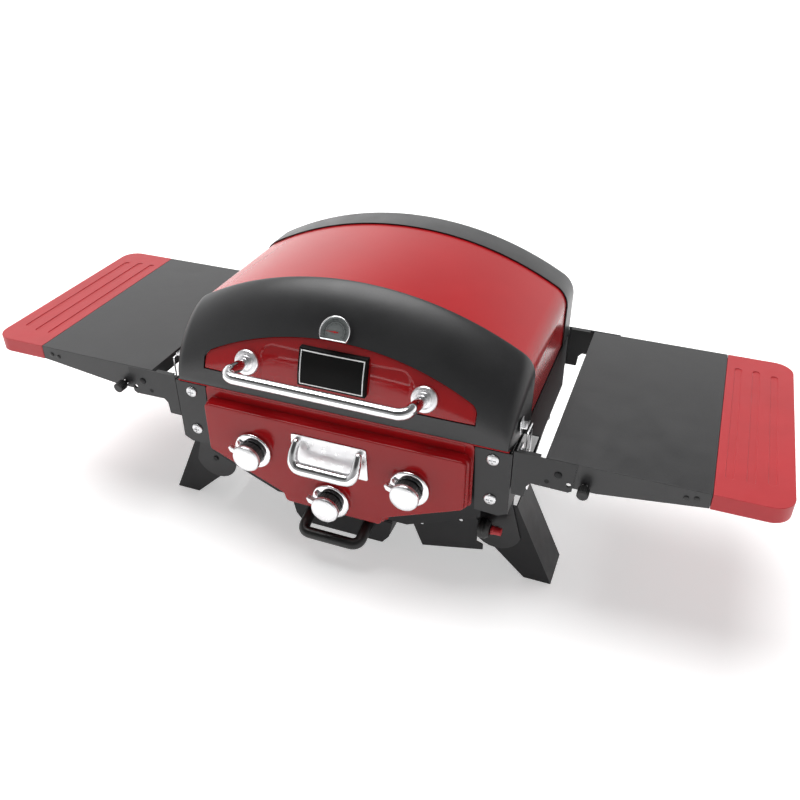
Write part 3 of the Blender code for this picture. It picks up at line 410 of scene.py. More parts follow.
def flipped(bm, mirror):
    """The shape itself, or its mirror image for the left side."""
    if mirror:
        bmesh.ops.scale(bm, vec=(-1, 1, 1), verts=bm.verts)
        bmesh.ops.reverse_faces(bm, faces=bm.faces)
    return bm


def smooth(obj, angle):
    obj.data.shade_smooth()
    obj.data.set_sharp_from_angle(angle=math.radians(angle))


def apply_modifiers(obj):
    """Bakes an object's modifiers into its mesh."""
    evaluated = obj.evaluated_get(bpy.context.evaluated_depsgraph_get())
    mesh = bpy.data.meshes.new_from_object(evaluated)
    obj.modifiers.clear()
    obj.data = mesh


def bevelled(obj, width, segments=2):
    change = obj.modifiers.new("soft_edges", "BEVEL")
    change.width = width
    change.segments = segments
    change.limit_method = "ANGLE"
    change.angle_limit = math.radians(30)
    change.harden_normals = True


def plain_object(name, bm):
    """An object from a mesh that was built with y = 0 at the middle of the shelves."""
    mesh = bpy.data.meshes.new(name)
    bmesh.ops.translate(bm, vec=(0, Y_SHIFT, 0), verts=bm.verts)
    bm.to_mesh(mesh)
    bm.free()
    made = bpy.data.objects.new(name, mesh)
    bpy.context.scene.collection.objects.link(made)
    return made


def piece(name, bm, material, body, replaces=(), bevel=0.0, cutters=(), angle=35, segments=2):
    """A finished piece that rides on a body."""
    made = plain_object(name, bm)
    for i, cutter in enumerate(cutters):
        tool = plain_object(f"{name}_tool_{i}", cutter)
        change = made.modifiers.new(f"cut_{i}", "BOOLEAN")
        change.operation = "DIFFERENCE"
        change.solver = "EXACT"
        change.object = tool
        apply_modifiers(made)
        bpy.data.objects.remove(tool)
    made.data.materials.clear()
    made.data.materials.append(material)
    smooth(made, angle)
    if bevel:
        bevelled(made, bevel, segments)
    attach(made, body)
    if replaces:
        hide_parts(*replaces)
    return made


def carry_over(node, material, bevel=0.0):
    """Keeps a CAD node, with its own finish and soft edges."""
    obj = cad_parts[node]
    for face_slot in obj.material_slots:
        face_slot.link = "OBJECT"
        face_slot.material = material
    if bevel:
        bevelled(obj, bevel)


# ---- the lid ------------------------------------------------------------------------------------
def arch(half, top, dome, shoulder, base, dome_steps=56, shoulder_steps=14):
    """The lid's outline seen from the front: up the left side, over the dome, down the right."""
    dome_z = top - dome
    shoulder_x = half - shoulder
    shoulder_z = dome_z + math.sqrt((dome - shoulder) ** 2 - shoulder_x ** 2)
    lean = math.atan2(shoulder_x, shoulder_z - dome_z)
    points = [(-half, base)]
    for i in range(shoulder_steps + 1):
        angle = math.pi / 2 - (math.pi / 2 - lean) * i / shoulder_steps
        points.append((-shoulder_x - shoulder * math.sin(angle), shoulder_z + shoulder * math.cos(angle)))
    for i in range(1, dome_steps):
        angle = -lean + 2 * lean * i / dome_steps
        points.append((dome * math.sin(angle), dome_z + dome * math.cos(angle)))
    return points + [(-x, z) for x, z in reversed(points[:shoulder_steps + 2])]


def cap_arch(inset=0.0, base=LID_BASE, *steps):
    """The outline of both caps at their seams, or one inset in it."""
    return arch(LID_HALF - inset, LID_TOP - inset, DOME_R - inset, SHOULDER_R - inset, base, *steps)


def front_cap_loops(inset=0.0, base=LID_BASE, start=None):
    """Loops of the front cap, from its seam to its face."""
    edge = cap_arch(inset, base)
    face = arch(FACE_HALF - inset, FACE_TOP - inset, FACE_R - inset, FACE_SHOULDER - inset * 0.5, base)
    loops = [] if start is None else [[(x, start, z) for x, z in edge]]
    steps = 26
    outs = [0.0, 0.02, 0.045] + [math.sin(math.pi / 2 * i / steps) for i in range(1, steps + 1)]
    for out in outs:
        share = 1 - (1 - out ** NOSE_POWER) ** (1 / NOSE_POWER)
        y = SEAM_FRONT + (LID_FRONT + inset - SEAM_FRONT) * out
        loops.append([((1 - share) * a + share * c, y, (1 - share) * b + share * d)
                      for (a, b), (c, d) in zip(edge, face)])
    return loops


def drop(x, radius):
    """How far an arc has fallen below its crown at a distance from it."""
    return radius - math.sqrt(radius ** 2 - x ** 2)


def front_y(x, z):
    """The front cap's surface at a place in the front view."""
    top = LID_TOP - drop(x, DOME_R)
    face = FACE_TOP - drop(x, FACE_R)
    share = min(max((top - z) / (top - face), 0.0), 1.0)
    out = (1 - (1 - share) ** NOSE_POWER) ** (1 / NOSE_POWER)
    return SEAM_FRONT + (LID_FRONT - SEAM_FRONT) * out


def window_top(x, inset):
    """The arc over the opening."""
    rise = WINDOW_TOP - WINDOW_SIDE
    radius = (WINDOW_HALF ** 2 + rise ** 2) / (2 * rise)
    return WINDOW_TOP - inset - drop(x, radius)


def rounded_window_top(x, half):
    """The opening's upper edge, where its end corners are rounded off."""
    past = max(WINDOW_CORNER - (half - abs(x)), 0.0)
    return window_top(x, WINDOW_HALF - half) - drop(past, WINDOW_CORNER)


def window(steps=60):
    """The outline of the opening in the front cap."""
    half, low = WINDOW_HALF, WINDOW_LOW
    xs = [half * math.sin(math.pi / 2 * (1 - 2 * i / steps)) for i in range(steps + 1)]
    return [(-half, low), (half, low)] + [(x, rounded_window_top(x, half)) for x in xs]


def slab_from(grid, thickness):
    """A sheet whose front is a grid of points, column by column."""
    bm = bmesh.new()
    front = [[bm.verts.new(p) for p in column] for column in grid]
    back = [[bm.verts.new((a, b + thickness, c)) for a, b, c in column] for column in grid]
    columns, last = len(grid) - 1, len(grid[0]) - 1
    for i in range(columns):
        for j in range(last):
            for side in (front, back):
                bm.faces.new((side[i][j], side[i + 1][j], side[i + 1][j + 1], side[i][j + 1]))
    rim = [(i, 0) for i in range(columns)] + [(columns, j) for j in range(last)]
    rim += [(i, last) for i in range(columns, 0, -1)] + [(0, j) for j in range(last, 0, -1)]
    for k, (i, j) in enumerate(rim):
        m, n = rim[(k + 1) % len(rim)]
        bm.faces.new((front[i][j], front[m][n], back[m][n], back[i][j]))
    return finish_mesh(bm)


def curved_sheet(columns, rows, half, low, high, depth, thickness):
    """A rectangle that follows the front cap's surface, depth behind it."""
    grid = []
    for i in range(columns + 1):
        x = half * (2 * i / columns - 1)
        heights = [low + (high - low) * t for t in rows]
        grid.append([(x, front_y(x, z) + depth, z) for z in heights])
    return slab_from(grid, thickness)


def back_cap_loops(inset, base, start, flat, steps=10):
    """Loops of the back cap, from its seam round its rolled edge to its flat back."""
    roll = BACK_ROLL - inset
    loops = [[(a, start, b) for a, b in cap_arch(inset, base)]]
    for i in range(steps + 1):
        angle = math.pi / 2 * i / steps
        y = flat - roll + roll * math.sin(angle)
        loops.append([(a, y, b) for a, b in cap_arch(inset + roll * (1 - math.cos(angle)), base)])
    return loops


def make_lid_skin():
    y0, y1 = SEAM_FRONT - 0.002, SEAM_BACK + 0.008
    outer, inner = [cap_arch(inset, LID_BASE, 96, 20) for inset in (SHEET_STEP, SHEET_STEP + SHEET_SKIN)]
    sections = [[(a, y0, b), (a, y1, b), (c, y1, d), (c, y0, d)] for (a, b), (c, d) in zip(outer, inner)]
    piece("lid_sheet", skin(sections), RED_LID, "lid", ["lid_shell"])

    below, past_seam = LID_BASE - 0.02, 0.01
    stem = tilted(turned([(0.0055, -0.02), (0.0055, 0.02)], "Y", (0, 0), 24), GAUGE_TILT, GAUGE)
    hollow = skin(front_cap_loops(CAP_SKIN, below, SEAM_FRONT + past_seam))
    piece("front_cap", skin(front_cap_loops()), CHARCOAL, "lid", ["lid_front_cap"],
          bevel=0.0006, cutters=[hollow, plate(window(), "Y", -0.20, -0.13), stem])

    hollow = skin(back_cap_loops(CAP_SKIN, below, SEAM_BACK - past_seam, LID_BACK - CAP_SKIN))
    piece("back_cap", skin(back_cap_loops(0.0, LID_BASE, SEAM_BACK, LID_BACK)), CHARCOAL, "lid",
          ["lid_back_cap"], bevel=0.0006, cutters=[hollow])


def pocket_share(x, z):
    """0 outside the pressed pocket in the middle of the front panel, 1 inside it."""
    dx = abs(x) - (POCKET_HALF - POCKET_CORNER)
    dz = z - (POCKET_TOP - POCKET_CORNER)
    outside = math.hypot(max(dx, 0.0), max(dz, 0.0)) + min(max(dx, dz), 0.0) - POCKET_CORNER
    t = min(max(-outside / POCKET_FILLET, 0.0), 1.0)
    return t * t * (3 - 2 * t)


def make_front_panel():
    """The recessed red panel, with a pocket pressed into its middle."""
    half, low, edge = WINDOW_HALF - 0.0010, WINDOW_LOW + 0.0006, 0.0014
    columns, rows, edge_rows = 150, 52, 3
    heights = [edge * 0.5 * (1 - math.cos(math.pi * j / edge_rows)) for j in range(edge_rows)]

    def depth(x, z, top):
        """Shallow at the foot, deeper above; the rim turns inwards to catch the light as a rounded edge."""
        near = min(half - abs(x), z - low, top - z)
        turn = max(1 - near / edge, 0.0)
        rise = min((z - low) / 0.030, 1.0)
        return INSET_DEPTH * (0.35 + 0.65 * rise) + POCKET_DEPTH * pocket_share(x, z) + 0.0008 * turn ** 2

    def column(x):
        top = rounded_window_top(x, half)
        span = top - low
        places = [low + h for h in heights]
        places += [low + edge + (span - 2 * edge) * j / rows for j in range(rows + 1)]
        places += [top - h for h in reversed(heights)]
        return [(x, front_y(x, z) + depth(x, z, top), z) for z in places]

    xs = [-half + h for h in heights]
    xs += [(half - edge) * (2 * i / columns - 1) for i in range(columns + 1)]
    xs += [half - h for h in reversed(heights)]
    piece("front_panel", slab_from([column(x) for x in xs], 0.0012), RED_INSET, "lid",
          ["lid_front_panel"], angle=60)


def make_name_plate():
    """The blank black plate with a thin pale frame line."""
    half, low, high, proud = 0.0500, 0.2910, 0.3430, 0.0040
    rows = [i / 16 for i in range(17)]
    slab = curved_sheet(20, rows, half, low, high, -proud, 0.0100)
    piece("plate_slab", slab, SATIN_BLACK, "lid", ["name_plate"], bevel=0.0006)
    line, line_depth, thickness = 0.0013, -proud - 0.00025, 0.0006
    frame_half, frame_low, frame_high = 0.0468, 0.2940, 0.3404
    parts = []
    for a, b in ((frame_low, frame_low + line), (frame_high - line, frame_high)):
        parts.append(curved_sheet(20, [0, 0.5, 1], frame_half, a, b, line_depth, thickness))
    for sign in (-1, 1):
        side = curved_sheet(1, rows, line / 2, frame_low, frame_high, line_depth, thickness)
        bmesh.ops.translate(side, vec=(sign * (frame_half - line / 2), 0, 0), verts=side.verts)
        parts.append(side)
    piece("plate_frame_line", merged(*parts), PALE_LINE, "lid")


def clipped(radius, chord, count=96):
    """A circle whose foot is cut off level, chord below its centre."""
    return [(x, max(z, -chord)) for x, z in circle(radius, count)]


def make_gauge():
    """A round dial with a flat foot, built round the -Y axis and then leaned back."""
    def ring(radius, chord, y):
        return [(x, y, z) for x, z in clipped(radius, chord)]

    profile = softened([(0.0198, -0.0050), (0.0201, -0.0075), (0.0210, -0.0086), (0.0220, -0.0074),
                        (0.0220, -0.0040)], 0.0008, 4)
    loops = [ring(r, r - GAUGE_FLAT, y) for r, y in profile]
    loops.append(ring(0.0040, 0.0040, -0.0038))
    loops.append(ring(0.0040, 0.0040, 0.0300))
    piece("gauge_case", tilted(skin(loops), GAUGE_TILT, GAUGE), CHROME, "lid", ["thermometer"])
    face_r, ink_y, foot = 0.0199, (-0.00555, -0.0052), -0.0092
    face = plate(clipped(face_r, face_r - GAUGE_FLAT), "Y", -0.0054, -0.0050)
    piece("gauge_face", tilted(face, GAUGE_TILT, GAUGE), DIAL, "lid")
    marks = []
    for radius, length, count, width in ((0.0176, 0.0028, 37, 0.00055), (0.0128, 0.0018, 25, 0.0005)):
        for i in range(count):
            angle = math.radians(-28 + 236 * i / (count - 1))
            long = length * (1.5 if i % 4 == 0 else 1.0)
            out = Vector((math.cos(angle), math.sin(angle)))
            if min(out.y * (radius - long), out.y * radius) < foot:
                continue
            side = Vector((-out.y, out.x)) * width / 2
            corners = [out * radius + side, out * radius - side, out * (radius - long) - side,
                       out * (radius - long) + side]
            marks.append(plate([tuple(c) for c in corners], "Y", *ink_y))
    arc = [(r * math.cos(a), r * math.sin(a)) for r, order in ((0.0147, 1), (0.0142, -1))
           for a in [math.radians(-25 + 230 * i / 40) for i in range(41)][::order]]
    marks.append(plate(arc, "Y", *ink_y))
    piece("gauge_marks", tilted(merged(*marks), GAUGE_TILT, GAUGE), INK, "lid")
    hub = turned(softened([(0.0001, -0.0070), (0.0015, -0.0070), (0.0015, -0.0060)], 0.0004), "Y", (0, 0), 24)
    needle = plate([(-0.0125, 0.0002), (-0.0125, -0.0001), (0.0, -0.0008), (0.0050, -0.0006),
                    (0.0050, 0.0006), (0.0, 0.0008)], "Y", -0.0066, -0.0061)
    piece("gauge_needle", tilted(merged(hub, needle), GAUGE_TILT, GAUGE), NEEDLE, "pointer",
          ["gauge_pointer"])


def make_lid_handle():
    rose_x, rose_z = 0.1312, 0.3048
    rose_y = front_y(rose_x, rose_z)
    for side, sign in SIDES.items():
        centre = Vector((sign * rose_x, rose_y, rose_z))
        profile = softened([(0.0005, 0.0034), (0.0180, 0.0034), (0.0185, -0.0014), (0.0172, -0.0034),
                            (0.0125, -0.0042), (0.0118, -0.0034), (0.0112, -0.0034), (0.0106, -0.0050),
                            (0.0090, -0.0060), (0.0006, -0.0060)], 0.0005, 3)
        rose = tilted(turned(profile, "Y", (0, 0), 64), ROSE_TILT, centre)
        piece(f"rose_{side}", rose, SATIN_CHROME, "lid", [f"handle_rose_{side}"])
    end_x, bar_y, bar_z, bend_r, tube_r = 0.1306, -0.2375, 0.3172, 0.0170, 0.0079
    half = [(rose_x, rose_y - 0.0052, rose_z + 0.0016), (end_x, bar_y + bend_r + 0.0060, bar_z - 0.0018)]
    for angle in [math.radians(90 * i / 8) for i in range(9)]:
        half.append((end_x - bend_r * (1 - math.cos(angle)), bar_y + bend_r * (1 - math.sin(angle)), bar_z))
    half += [(x, bar_y, bar_z) for x in (0.100, 0.050)]
    path = [(p, tube_r) for p in half + [(0.0, bar_y, bar_z)] + [(-x, y, z) for x, y, z in reversed(half)]]
    piece("handle_tube", swept(smooth_path(path), 48), TUBE_CHROME, "lid", ["lid_handle"], angle=50)


# ---- front --------------------------------------------------------------------------------------
PANEL_FACE = mirrored([(0.1965, 0.2345), (0.1965, 0.1545), (0.0785, 0.1035), (0.0745, 0.0895)])


def panel_loop(amount, y, top=None, radius=0.006):
    """The panel's outline grown by an amount, with its upper edge at a height of its own."""
    outline = grown(PANEL_FACE, amount)
    if top is not None:
        outline[0] = (outline[0][0], top)
        outline[-1] = (outline[-1][0], top)
    return [(x, y, z) for x, z in rounded(outline, max(radius + amount, 0.002), 5)]


def make_control_panel():
    """A pressed box: its inner skin, the flange round it, and its outer skin up to the raised face."""
    top, sheet = 0.2531, 0.0015
    loops = [
        panel_loop(-0.0030, PANEL_Y + sheet),
        panel_loop(-0.0010, PANEL_Y + 0.010, 0.2325),
        panel_loop(0.0030, PANEL_Y + 0.011, 0.2335),
        panel_loop(0.0030, FRONT_Y + sheet, 0.2335),
        panel_loop(0.0068, FRONT_Y + sheet, top, 0.0),
        panel_loop(0.0068, FRONT_Y, top, 0.0),
        panel_loop(0.0054, FRONT_Y, 0.2354),
        panel_loop(0.0046, FRONT_Y - 0.0006, 0.2350),
        panel_loop(0.0040, PANEL_Y + 0.0095, 0.2350),
        panel_loop(0.0034, PANEL_Y + 0.0088, 0.2349),
        panel_loop(0.0018, PANEL_Y + 0.0082, 0.2347),
        panel_loop(0.0012, PANEL_Y + 0.0076, 0.2346),
    ]
    corner, steps = 0.0022, 5
    for i in range(steps + 1):
        angle = math.pi / 2 * i / steps
        inward = corner * (1 - math.cos(angle))
        loops.append(panel_loop(0.0010 - inward, PANEL_Y + corner * (1 - math.sin(angle)), 0.2345 - inward))
    holes = [plate(circle(0.013, 32, (place.x, place.z)), "Y", -0.21, -0.19) for place in KNOBS.values()]
    piece("panel_pressing", skin(loops), RED_PANEL, "grill", ["control_panel"], cutters=holes)
    flange = block((-0.2495, FRONT_Y + 0.0001, 0.2514), (0.2495, -0.1725, top))
    rib = rounded([(-0.1900, 0.2500), (0.1900, 0.2500), (0.1900, 0.2375), (-0.1900, 0.2375)], 0.0030)
    piece("panel_top_flange", flange, RED_LID, "grill", bevel=0.0006)
    piece("panel_top_rib", plate(rib, "Y", FRONT_Y - 0.0006, FRONT_Y + 0.0004), RED_PANEL, "grill",
          bevel=0.0004)


def make_backplate():
    low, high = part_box("panel_backplate")
    outline = mirrored([(0.215, 0.2475), (0.215, 0.1245), (0.1060, 0.0757), (0.084, 0.0757)])
    piece("backplate", plate(outline, "Y", low.y - Y_SHIFT, high.y - Y_SHIFT), BLACK_STEEL, "grill",
          ["panel_backplate"], bevel=0.0003)


def knurled(centre, low_r, high_r, count):
    """A circle whose radius steps between two values."""
    made = []
    for i in range(count):
        radius = high_r if i % 2 else low_r
        angle = 2 * math.pi * i / count
        made.append((centre[0] + radius * math.cos(angle), centre[1] + radius * math.sin(angle)))
    return made


def make_knobs():
    for side, place in KNOBS.items():
        x, z = place.x, place.z
        bezel = [(0.0060, PANEL_Y - 0.0005), (0.0288, PANEL_Y - 0.0005), (0.0290, -0.2036),
                 (0.0276, -0.2054), (0.0205, -0.2064), (0.0194, -0.2058), (0.0192, -0.2024),
                 (0.0060, -0.2022), (0.0060, PANEL_Y - 0.0005)]
        bezel = softened(bezel, 0.0012, 4)
        piece(f"bezel_{side}", turned(bezel[:-1], "Y", (x, z), 72, ring=True), CHROME, "grill",
              [f"knob_bezel_{side}"])
        grip = plate(knurled((x, z), 0.0182, 0.0189, 60), "Y", -0.2196, -0.2078)
        fin = plate([(x - 0.0160, z + 0.0060), (x - 0.0160, z - 0.0030), (x - 0.0285, z + 0.0020),
                     (x - 0.0315, z + 0.0090), (x - 0.0290, z + 0.0110)], "Y", -0.2192, -0.2112)
        body = f"knob_{side}"
        bore = turned([(0.0036, -0.2235), (0.0036, -0.2070)], "Y", (x, z), 24)
        piece(f"knob_grip_{side}", grip, BLACK_PLASTIC, body, [f"burner_knob_{side}"],
              bevel=0.0003, cutters=[bore])
        piece(f"knob_pointer_{side}", fin, SATIN_CHROME, body, bevel=0.0012, segments=3)
        cap = softened([(0.0005, -0.2236), (0.0203, -0.2236), (0.0203, -0.2198), (0.0209, -0.2200),
                        (0.0211, -0.2238), (0.0198, -0.2262), (0.0152, -0.2279), (0.0080, -0.2287),
                        (0.0003, -0.2289)], 0.0008, 3)
        piece(f"knob_cap_{side}", turned(cap, "Y", (x, z), 72), SATIN_CHROME, body, angle=50)


def make_carry_handle():
    """A plate with a thick bar on two thin arms that come out of its upper corners."""
    back, front = PANEL_Y - 0.0005, PANEL_Y - 0.0020
    outline = rounded([(-0.0570, 0.2185), (0.0570, 0.2185), (0.0590, 0.1660), (-0.0590, 0.1660)], 0.003)
    piece("carry_plate", plate(outline, "Y", front, back), SATIN_CHROME, "grill", bevel=0.0005)
    half = [((0.0475, front + 0.0003, 0.2085), 0.0056), ((0.0475, front - 0.0035, 0.2083), 0.0056),
            ((0.0478, -0.2090, 0.2045), 0.0060),
            ((0.0480, -0.2155, 0.1965), 0.0068), ((0.0465, -0.2205, 0.1865), 0.0078),
            ((0.0410, -0.2225, 0.1795), 0.0088), ((0.0320, -0.2230, 0.1775), 0.0092),
            ((0.0150, -0.2230, 0.1775), 0.0092)]
    other = [((-p[0], p[1], p[2]), r) for p, r in reversed(half)]
    piece("carry_grip", swept(smooth_path(half + other), 32), TUBE_CHROME, "grill", ["carry_handle"],
          angle=60)


# ---- fasteners ----------------------------------------------------------------------------------
def bolt_head(radius, height):
    """A domed head round the -Y axis, its seat at y = 0."""
    steps, rim = 8, 0.25
    profile = [(radius * 0.99, 0.0)]
    for angle in [math.pi / 2 * i / steps for i in range(steps + 1)]:
        profile.append((radius * math.cos(angle), -height * (rim + (1 - rim) * math.sin(angle))))
    return turned(profile, "Y", (0, 0), 40)


def screw(name, centre, radius, body, cross=True, metal=BOLT_METAL):
    """A screw or rivet head on a face that looks along -Y."""
    height = radius * 0.42
    cutters = []
    if cross:
        arm, width, depth = radius * 0.55, radius * 0.10, radius * 0.175
        for a, b in ((arm, width), (width, arm)):
            cutters.append(shifted(block((-a, -radius, -b), (a, depth - height, b)), centre))
    piece(name, shifted(bolt_head(radius, height), centre), metal, body, cutters=cutters)


def make_fasteners():
    for side, sign in SIDES.items():
        for i, z in enumerate((0.2360, 0.1695)):
            screw(f"{side}_frame_bolt_{i}", (sign * 0.2290, FRONT_Y - 0.0001, z), 0.0086, "grill")
        screw(f"{side}_shelf_rivet", (sign * 0.3150, -0.1801, 0.2345), 0.0052, "grill", False, BLACK_STEEL)
        for i, x in enumerate((0.4830, 0.4710)):
            screw(f"{side}_tray_screw_{i}", (sign * x, -0.1776, 0.2440 - 0.002 * i), 0.0036,
                  f"{side}_shelf_body", False, BLACK_PLASTIC)
        # a near-black disc of painted shade in the front skirt, standing in for the shaded inside of a hole
        hole_shade = plate(circle(0.0034, 24, (sign * 0.3015, 0.2205)), "Y", -0.1797, -0.1791)
        piece(f"{side}_slot_plug", hole_shade, HOLE_SHADE, "grill")


# ---- shelves ------------------------------------------------------------------------------------
def shelf_pan(inset, top):
    """The shelf's upper edge and its lower one, which rises towards both ends."""
    stations = [(SHELF_LOW.x, 0.2340), (0.3120, 0.2225), (0.3280, SHELF_LOW.z), (0.3650, SHELF_LOW.z),
                (SHELF_HIGH.x, 0.2335)]
    xs = [x for x, _ in stations]
    xs[0] += inset
    xs[-1] -= inset
    zs = [z for _, z in stations]
    width = SHELF_HALF - inset
    lower = [(x, -width, z) for x, z in zip(xs, zs)]
    lower += [(x, width, z) for x, z in zip(xs[::-1], zs[::-1])]
    return [(x, y, top) for x, y, _ in lower], lower


def front_hole(radius, x, z):
    """A cutter for a round hole in the shelf's front skirt."""
    return plate(circle(radius, 24, (x, z)), "Y", -0.19, -0.17)


def make_shelf(side, mirror):
    body, sheet = f"{side}_shelf_body", 0.0015
    outer_top, outer_low = shelf_pan(0.0, SHELF_TOP)
    inner_top, inner_low = shelf_pan(sheet, SHELF_TOP - sheet)
    shape = skin([outer_top, outer_low, inner_low, inner_top])
    holes = [front_hole(0.0038, LOCK_X, LOCK_Z), front_hole(0.0035, 0.3295, 0.2220)]
    piece(f"{side}_shelf_sheet", flipped(shape, mirror), SHELF_PAINT, body, [f"{side}_shelf"],
          bevel=0.0014, cutters=[flipped(hole, mirror) for hole in holes], segments=3)


def make_tray_end(side, mirror):
    """The shelf's moulded end, with three shallow grooves in its top."""
    (x0, _, low), (x1, _, _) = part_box("right_tray_end")
    corner, wall, steps = 0.027, 0.0025, 14

    def outline(inset):
        half, radius = SHELF_HALF - inset, corner - inset
        corners = [(x0 + inset, -half), (x1 - inset, -half), (x1 - inset, half), (x0 + inset, half)]
        return rounded(corners, [0, radius, radius, 0], steps)

    levels = ((outline(0.0), SHELF_TOP), (outline(0.0), low), (outline(wall), low),
              (outline(wall), SHELF_TOP - wall))
    tray = [[(a, b, z) for a, b in loop] for loop, z in levels]
    grooves = []
    for x, length in ((0.5165, 0.140), (0.5415, 0.140), (0.5665, 0.134)):
        channel = rounded([(x - 0.0050, -length), (x + 0.0050, -length), (x + 0.0050, length),
                           (x - 0.0050, length)], 0.0048, 8)
        grooves.append(flipped(plate(channel, "Z", SHELF_TOP - 0.0012, SHELF_TOP + 0.001), mirror))
    piece(f"{side}_tray_moulding", flipped(skin(tray), mirror), RED_PLASTIC, f"{side}_shelf_body",
          [f"{side}_tray_end"], bevel=0.0009, cutters=grooves, segments=3)


def make_lock_knob(side, mirror):
    """The knurled knob that is pulled to free the shelf."""
    def round_part(*profile):
        return turned(softened(profile, 0.0004), "Y", (LOCK_X, LOCK_Z), 40)

    knob = plate(knurled((LOCK_X, LOCK_Z), 0.0071, 0.0077, 40), "Y", -0.1966, -0.1832)
    collar = round_part((0.0030, -0.1680), (0.0030, -0.1812), (0.0064, -0.1814), (0.0068, -0.1834))
    face = round_part((0.0066, -0.1965), (0.0060, -0.1972), (0.0030, -0.1972), (0.0003, -0.1970))
    piece(f"{side}_lock_knob", flipped(merged(knob, collar, face), mirror), BLACK_PLASTIC,
          f"{side}_lock", [f"{side}_shelf_lock"], bevel=0.0003)


def make_shelves():
    """Each shelf is drawn on the right and mirrored for the left."""
    for side, sign in SIDES.items():
        make_shelf(side, sign < 0)
        make_tray_end(side, sign < 0)
        make_lock_knob(side, sign < 0)


# ---- below --------------------------------------------------------------------------------------
def make_drip_tray_handle():
    low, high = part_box("drip_tray_handle")
    radius = 0.0085
    arm_x, bar_y = (high.x - low.x) / 2 - radius, low.y - Y_SHIFT + radius
    root_y = high.y - Y_SHIFT
    root_z, bar_z = high.z - radius, low.z + radius
    half_path = [(-arm_x, root_y, root_z), (-arm_x, root_y - 0.0120, root_z), (-arm_x, bar_y, bar_z)]
    corners = half_path + [(-x, y, z) for x, y, z in reversed(half_path)]
    path = [(p, radius) for p in softened(corners, 0.014, 8)]
    piece("tray_grip", swept(path, 28), BLACK_PLASTIC, "drawer", ["drip_tray_handle"])


def make_regulator():
    x, (y, z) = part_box("regulator")[0].x, middle("regulator").yz
    y -= Y_SHIFT
    body = softened([(0.0110, x), (0.0144, x + 0.0010), (0.0150, x + 0.0030), (0.0150, x + 0.0058),
                     (0.0143, x + 0.0066), (0.0150, x + 0.0074), (0.0148, x + 0.0105),
                     (0.0110, x + 0.0160), (0.0045, x + 0.0170), (0.0045, x + 0.0290)], 0.0006, 3)
    piece("regulator_body", turned(body, "X", (y, z), 56), BLACK_PLASTIC, "grill",
          ["regulator"])
    start = x + 0.0175
    cap = softened([(0.0003, start + 0.0120), (0.0050, start + 0.0120), (0.0050, start),
                    (0.0068, start), (0.0068, start + 0.0030), (0.0060, start + 0.0040),
                    (0.0056, start + 0.0150), (0.0035, start + 0.0155), (0.0003, start + 0.0155)], 0.0005, 3)
    piece("inlet_cap", turned(cap, "X", (y, z), 40), RED_PLASTIC, "inlet_cap",
          ["regulator_cap"])


def keep_cad_nodes():
    soft = 0.0004
    for side in SIDES:
        carry_over(f"{side}_end_frame", FRAME_PAINT, soft)
        carry_over(f"{side}_shelf_bracket", FRAME_PAINT, soft)
        carry_over(f"{side}_leg_front", BLACK_STEEL, soft)
        carry_over(f"{side}_leg_back", BLACK_STEEL, soft)
        for part in ("base", "lever", "keeper"):
            carry_over(f"{side}_latch_{part}", SATIN_CHROME, 0.0002)
        carry_over(f"{side}_latch_bail", SATIN_CHROME)
    for node in ("drip_tray", "regulator_bracket", "hinge_base", "hinge_leaf"):
        carry_over(node, BLACK_STEEL, soft)
    for node in ("firebox", "cooking_grate"):
        carry_over(node, ENAMEL, soft)
    for node in ("burner_left", "burner_middle", "burner_right", "drip_tray_guide", "valve_stem_left",
                 "valve_stem_middle", "valve_stem_right"):
        carry_over(node, STEEL)
    carry_over("gas_manifold", STEEL_X)
    for node in ("heat_plate", "warming_rack"):
        carry_over(node, STEEL_X, 0.0003)


# ---- stage --------------------------------------------------------------------------------------
def staged(name, data):
    """An object of the stage, which rides on nothing."""
    made = bpy.data.objects.new(name, data)
    bpy.context.scene.collection.objects.link(made)
    return made


def aim(obj, direction):
    """Turns an object so that its -Z axis looks against a direction."""
    obj.rotation_euler = Vector(direction).to_track_quat("Z", "Y").to_euler()


def make_floor():
    bm = bmesh.new()
    bmesh.ops.create_grid(bm, x_segments=1, y_segments=1, size=30.0)
    floor = plain_object("floor", bm)
    paper = Finish("paper", (0.9, 0.9, 0.9), 0.9, 0.0, Emission_Color=(1, 1, 1, 1), Emission_Strength=0.42)
    paper.vary_roughness(paper.noise(3, 2), 0.85, 0.95)
    floor.data.materials.append(paper.material)
    floor.location.z = -0.0002


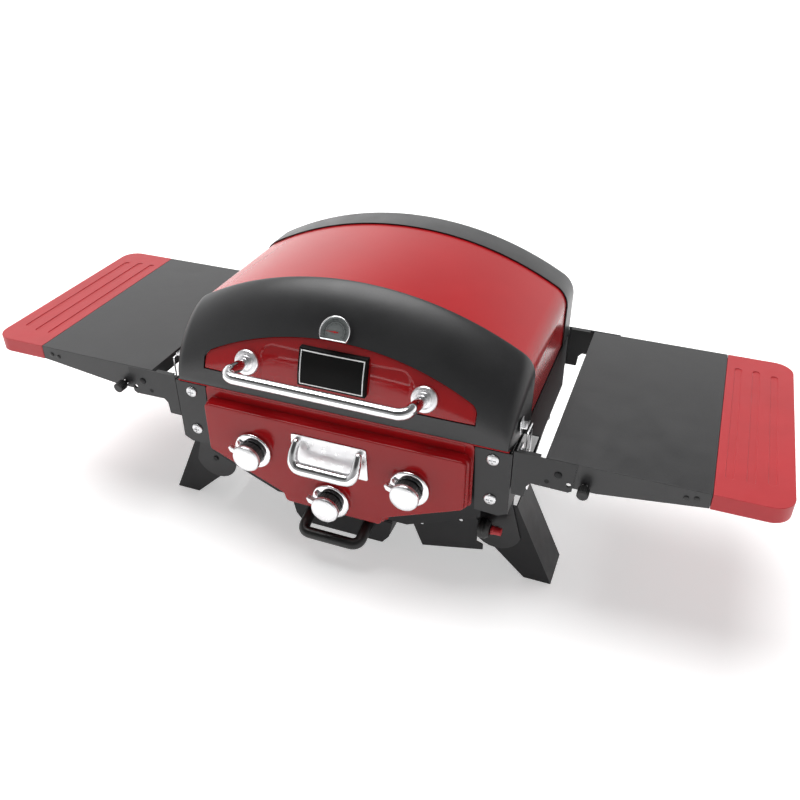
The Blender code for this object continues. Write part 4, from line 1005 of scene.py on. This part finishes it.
def make_world():
    """A pale horizon under a darker sky, brighter behind the grill than in front of it."""
    strength_at_sides, gain_to_back = 0.95, 0.65
    stops = ((0.36, 1.0), (0.58, 0.12))      # (place on the ramp, grey)
    bpy.context.scene.view_settings.view_transform = "Standard"
    world = bpy.data.worlds.new("studio")
    bpy.context.scene.world = world
    world.use_nodes = True
    tree = world.node_tree
    backdrop = tree.nodes["Background"]
    direction = tree.nodes.new("ShaderNodeTexCoord")
    split = tree.nodes.new("ShaderNodeSeparateXYZ")
    ramp = tree.nodes.new("ShaderNodeValToRGB")
    towards_back = tree.nodes.new("ShaderNodeMath")
    towards_back.operation = "MULTIPLY_ADD"
    towards_back.inputs[1].default_value = gain_to_back
    towards_back.inputs[2].default_value = strength_at_sides
    tree.links.new(direction.outputs["Generated"], split.inputs["Vector"])
    tree.links.new(split.outputs["Z"], ramp.inputs["Fac"])
    tree.links.new(split.outputs["Y"], towards_back.inputs[0])
    tree.links.new(ramp.outputs["Color"], backdrop.inputs["Color"])
    tree.links.new(towards_back.outputs["Value"], backdrop.inputs["Strength"])
    for element, (position, grey) in zip(ramp.color_ramp.elements, stops):
        element.color = (grey, grey, grey, 1.0)
        element.position = position


def make_lights():
    sun = staged("sun", bpy.data.lights.new("sun", "SUN"))
    sun.data.energy = 3.0
    sun.data.angle = math.radians(50)
    aim(sun, (-0.30, 0.25, 1.0))

    key = staged("key", bpy.data.lights.new("key", "AREA"))
    key.data.shape = "DISK"
    key.data.size = 1.6
    key.data.energy = 4
    key.location = (-1.5, 0.3, 2.2)
    aim(key, key.location - Vector((0, 0, 0.22)))


def make_camera():
    azimuth, elevation = math.radians(20.97), math.radians(33.54)
    camera = bpy.data.objects.new("camera", bpy.data.cameras.new("camera"))
    bpy.context.scene.collection.objects.link(camera)
    bpy.context.scene.camera = camera
    camera.location = (0.42317, -1.02624 + Y_SHIFT, 0.89919)
    aim(camera, (math.sin(azimuth) * math.cos(elevation), -math.cos(azimuth) * math.cos(elevation),
                 math.sin(elevation)))
    camera.data.lens = 37.31
    camera.data.sensor_width = 36.0


make_lid_skin()
make_front_panel()
make_name_plate()
make_gauge()
make_lid_handle()
make_control_panel()
make_backplate()
make_knobs()
make_carry_handle()
make_fasteners()
make_shelves()
make_drip_tray_handle()
make_regulator()
keep_cad_nodes()
make_floor()
make_world()
make_lights()
make_camera()

bpy.context.view_layer.update()
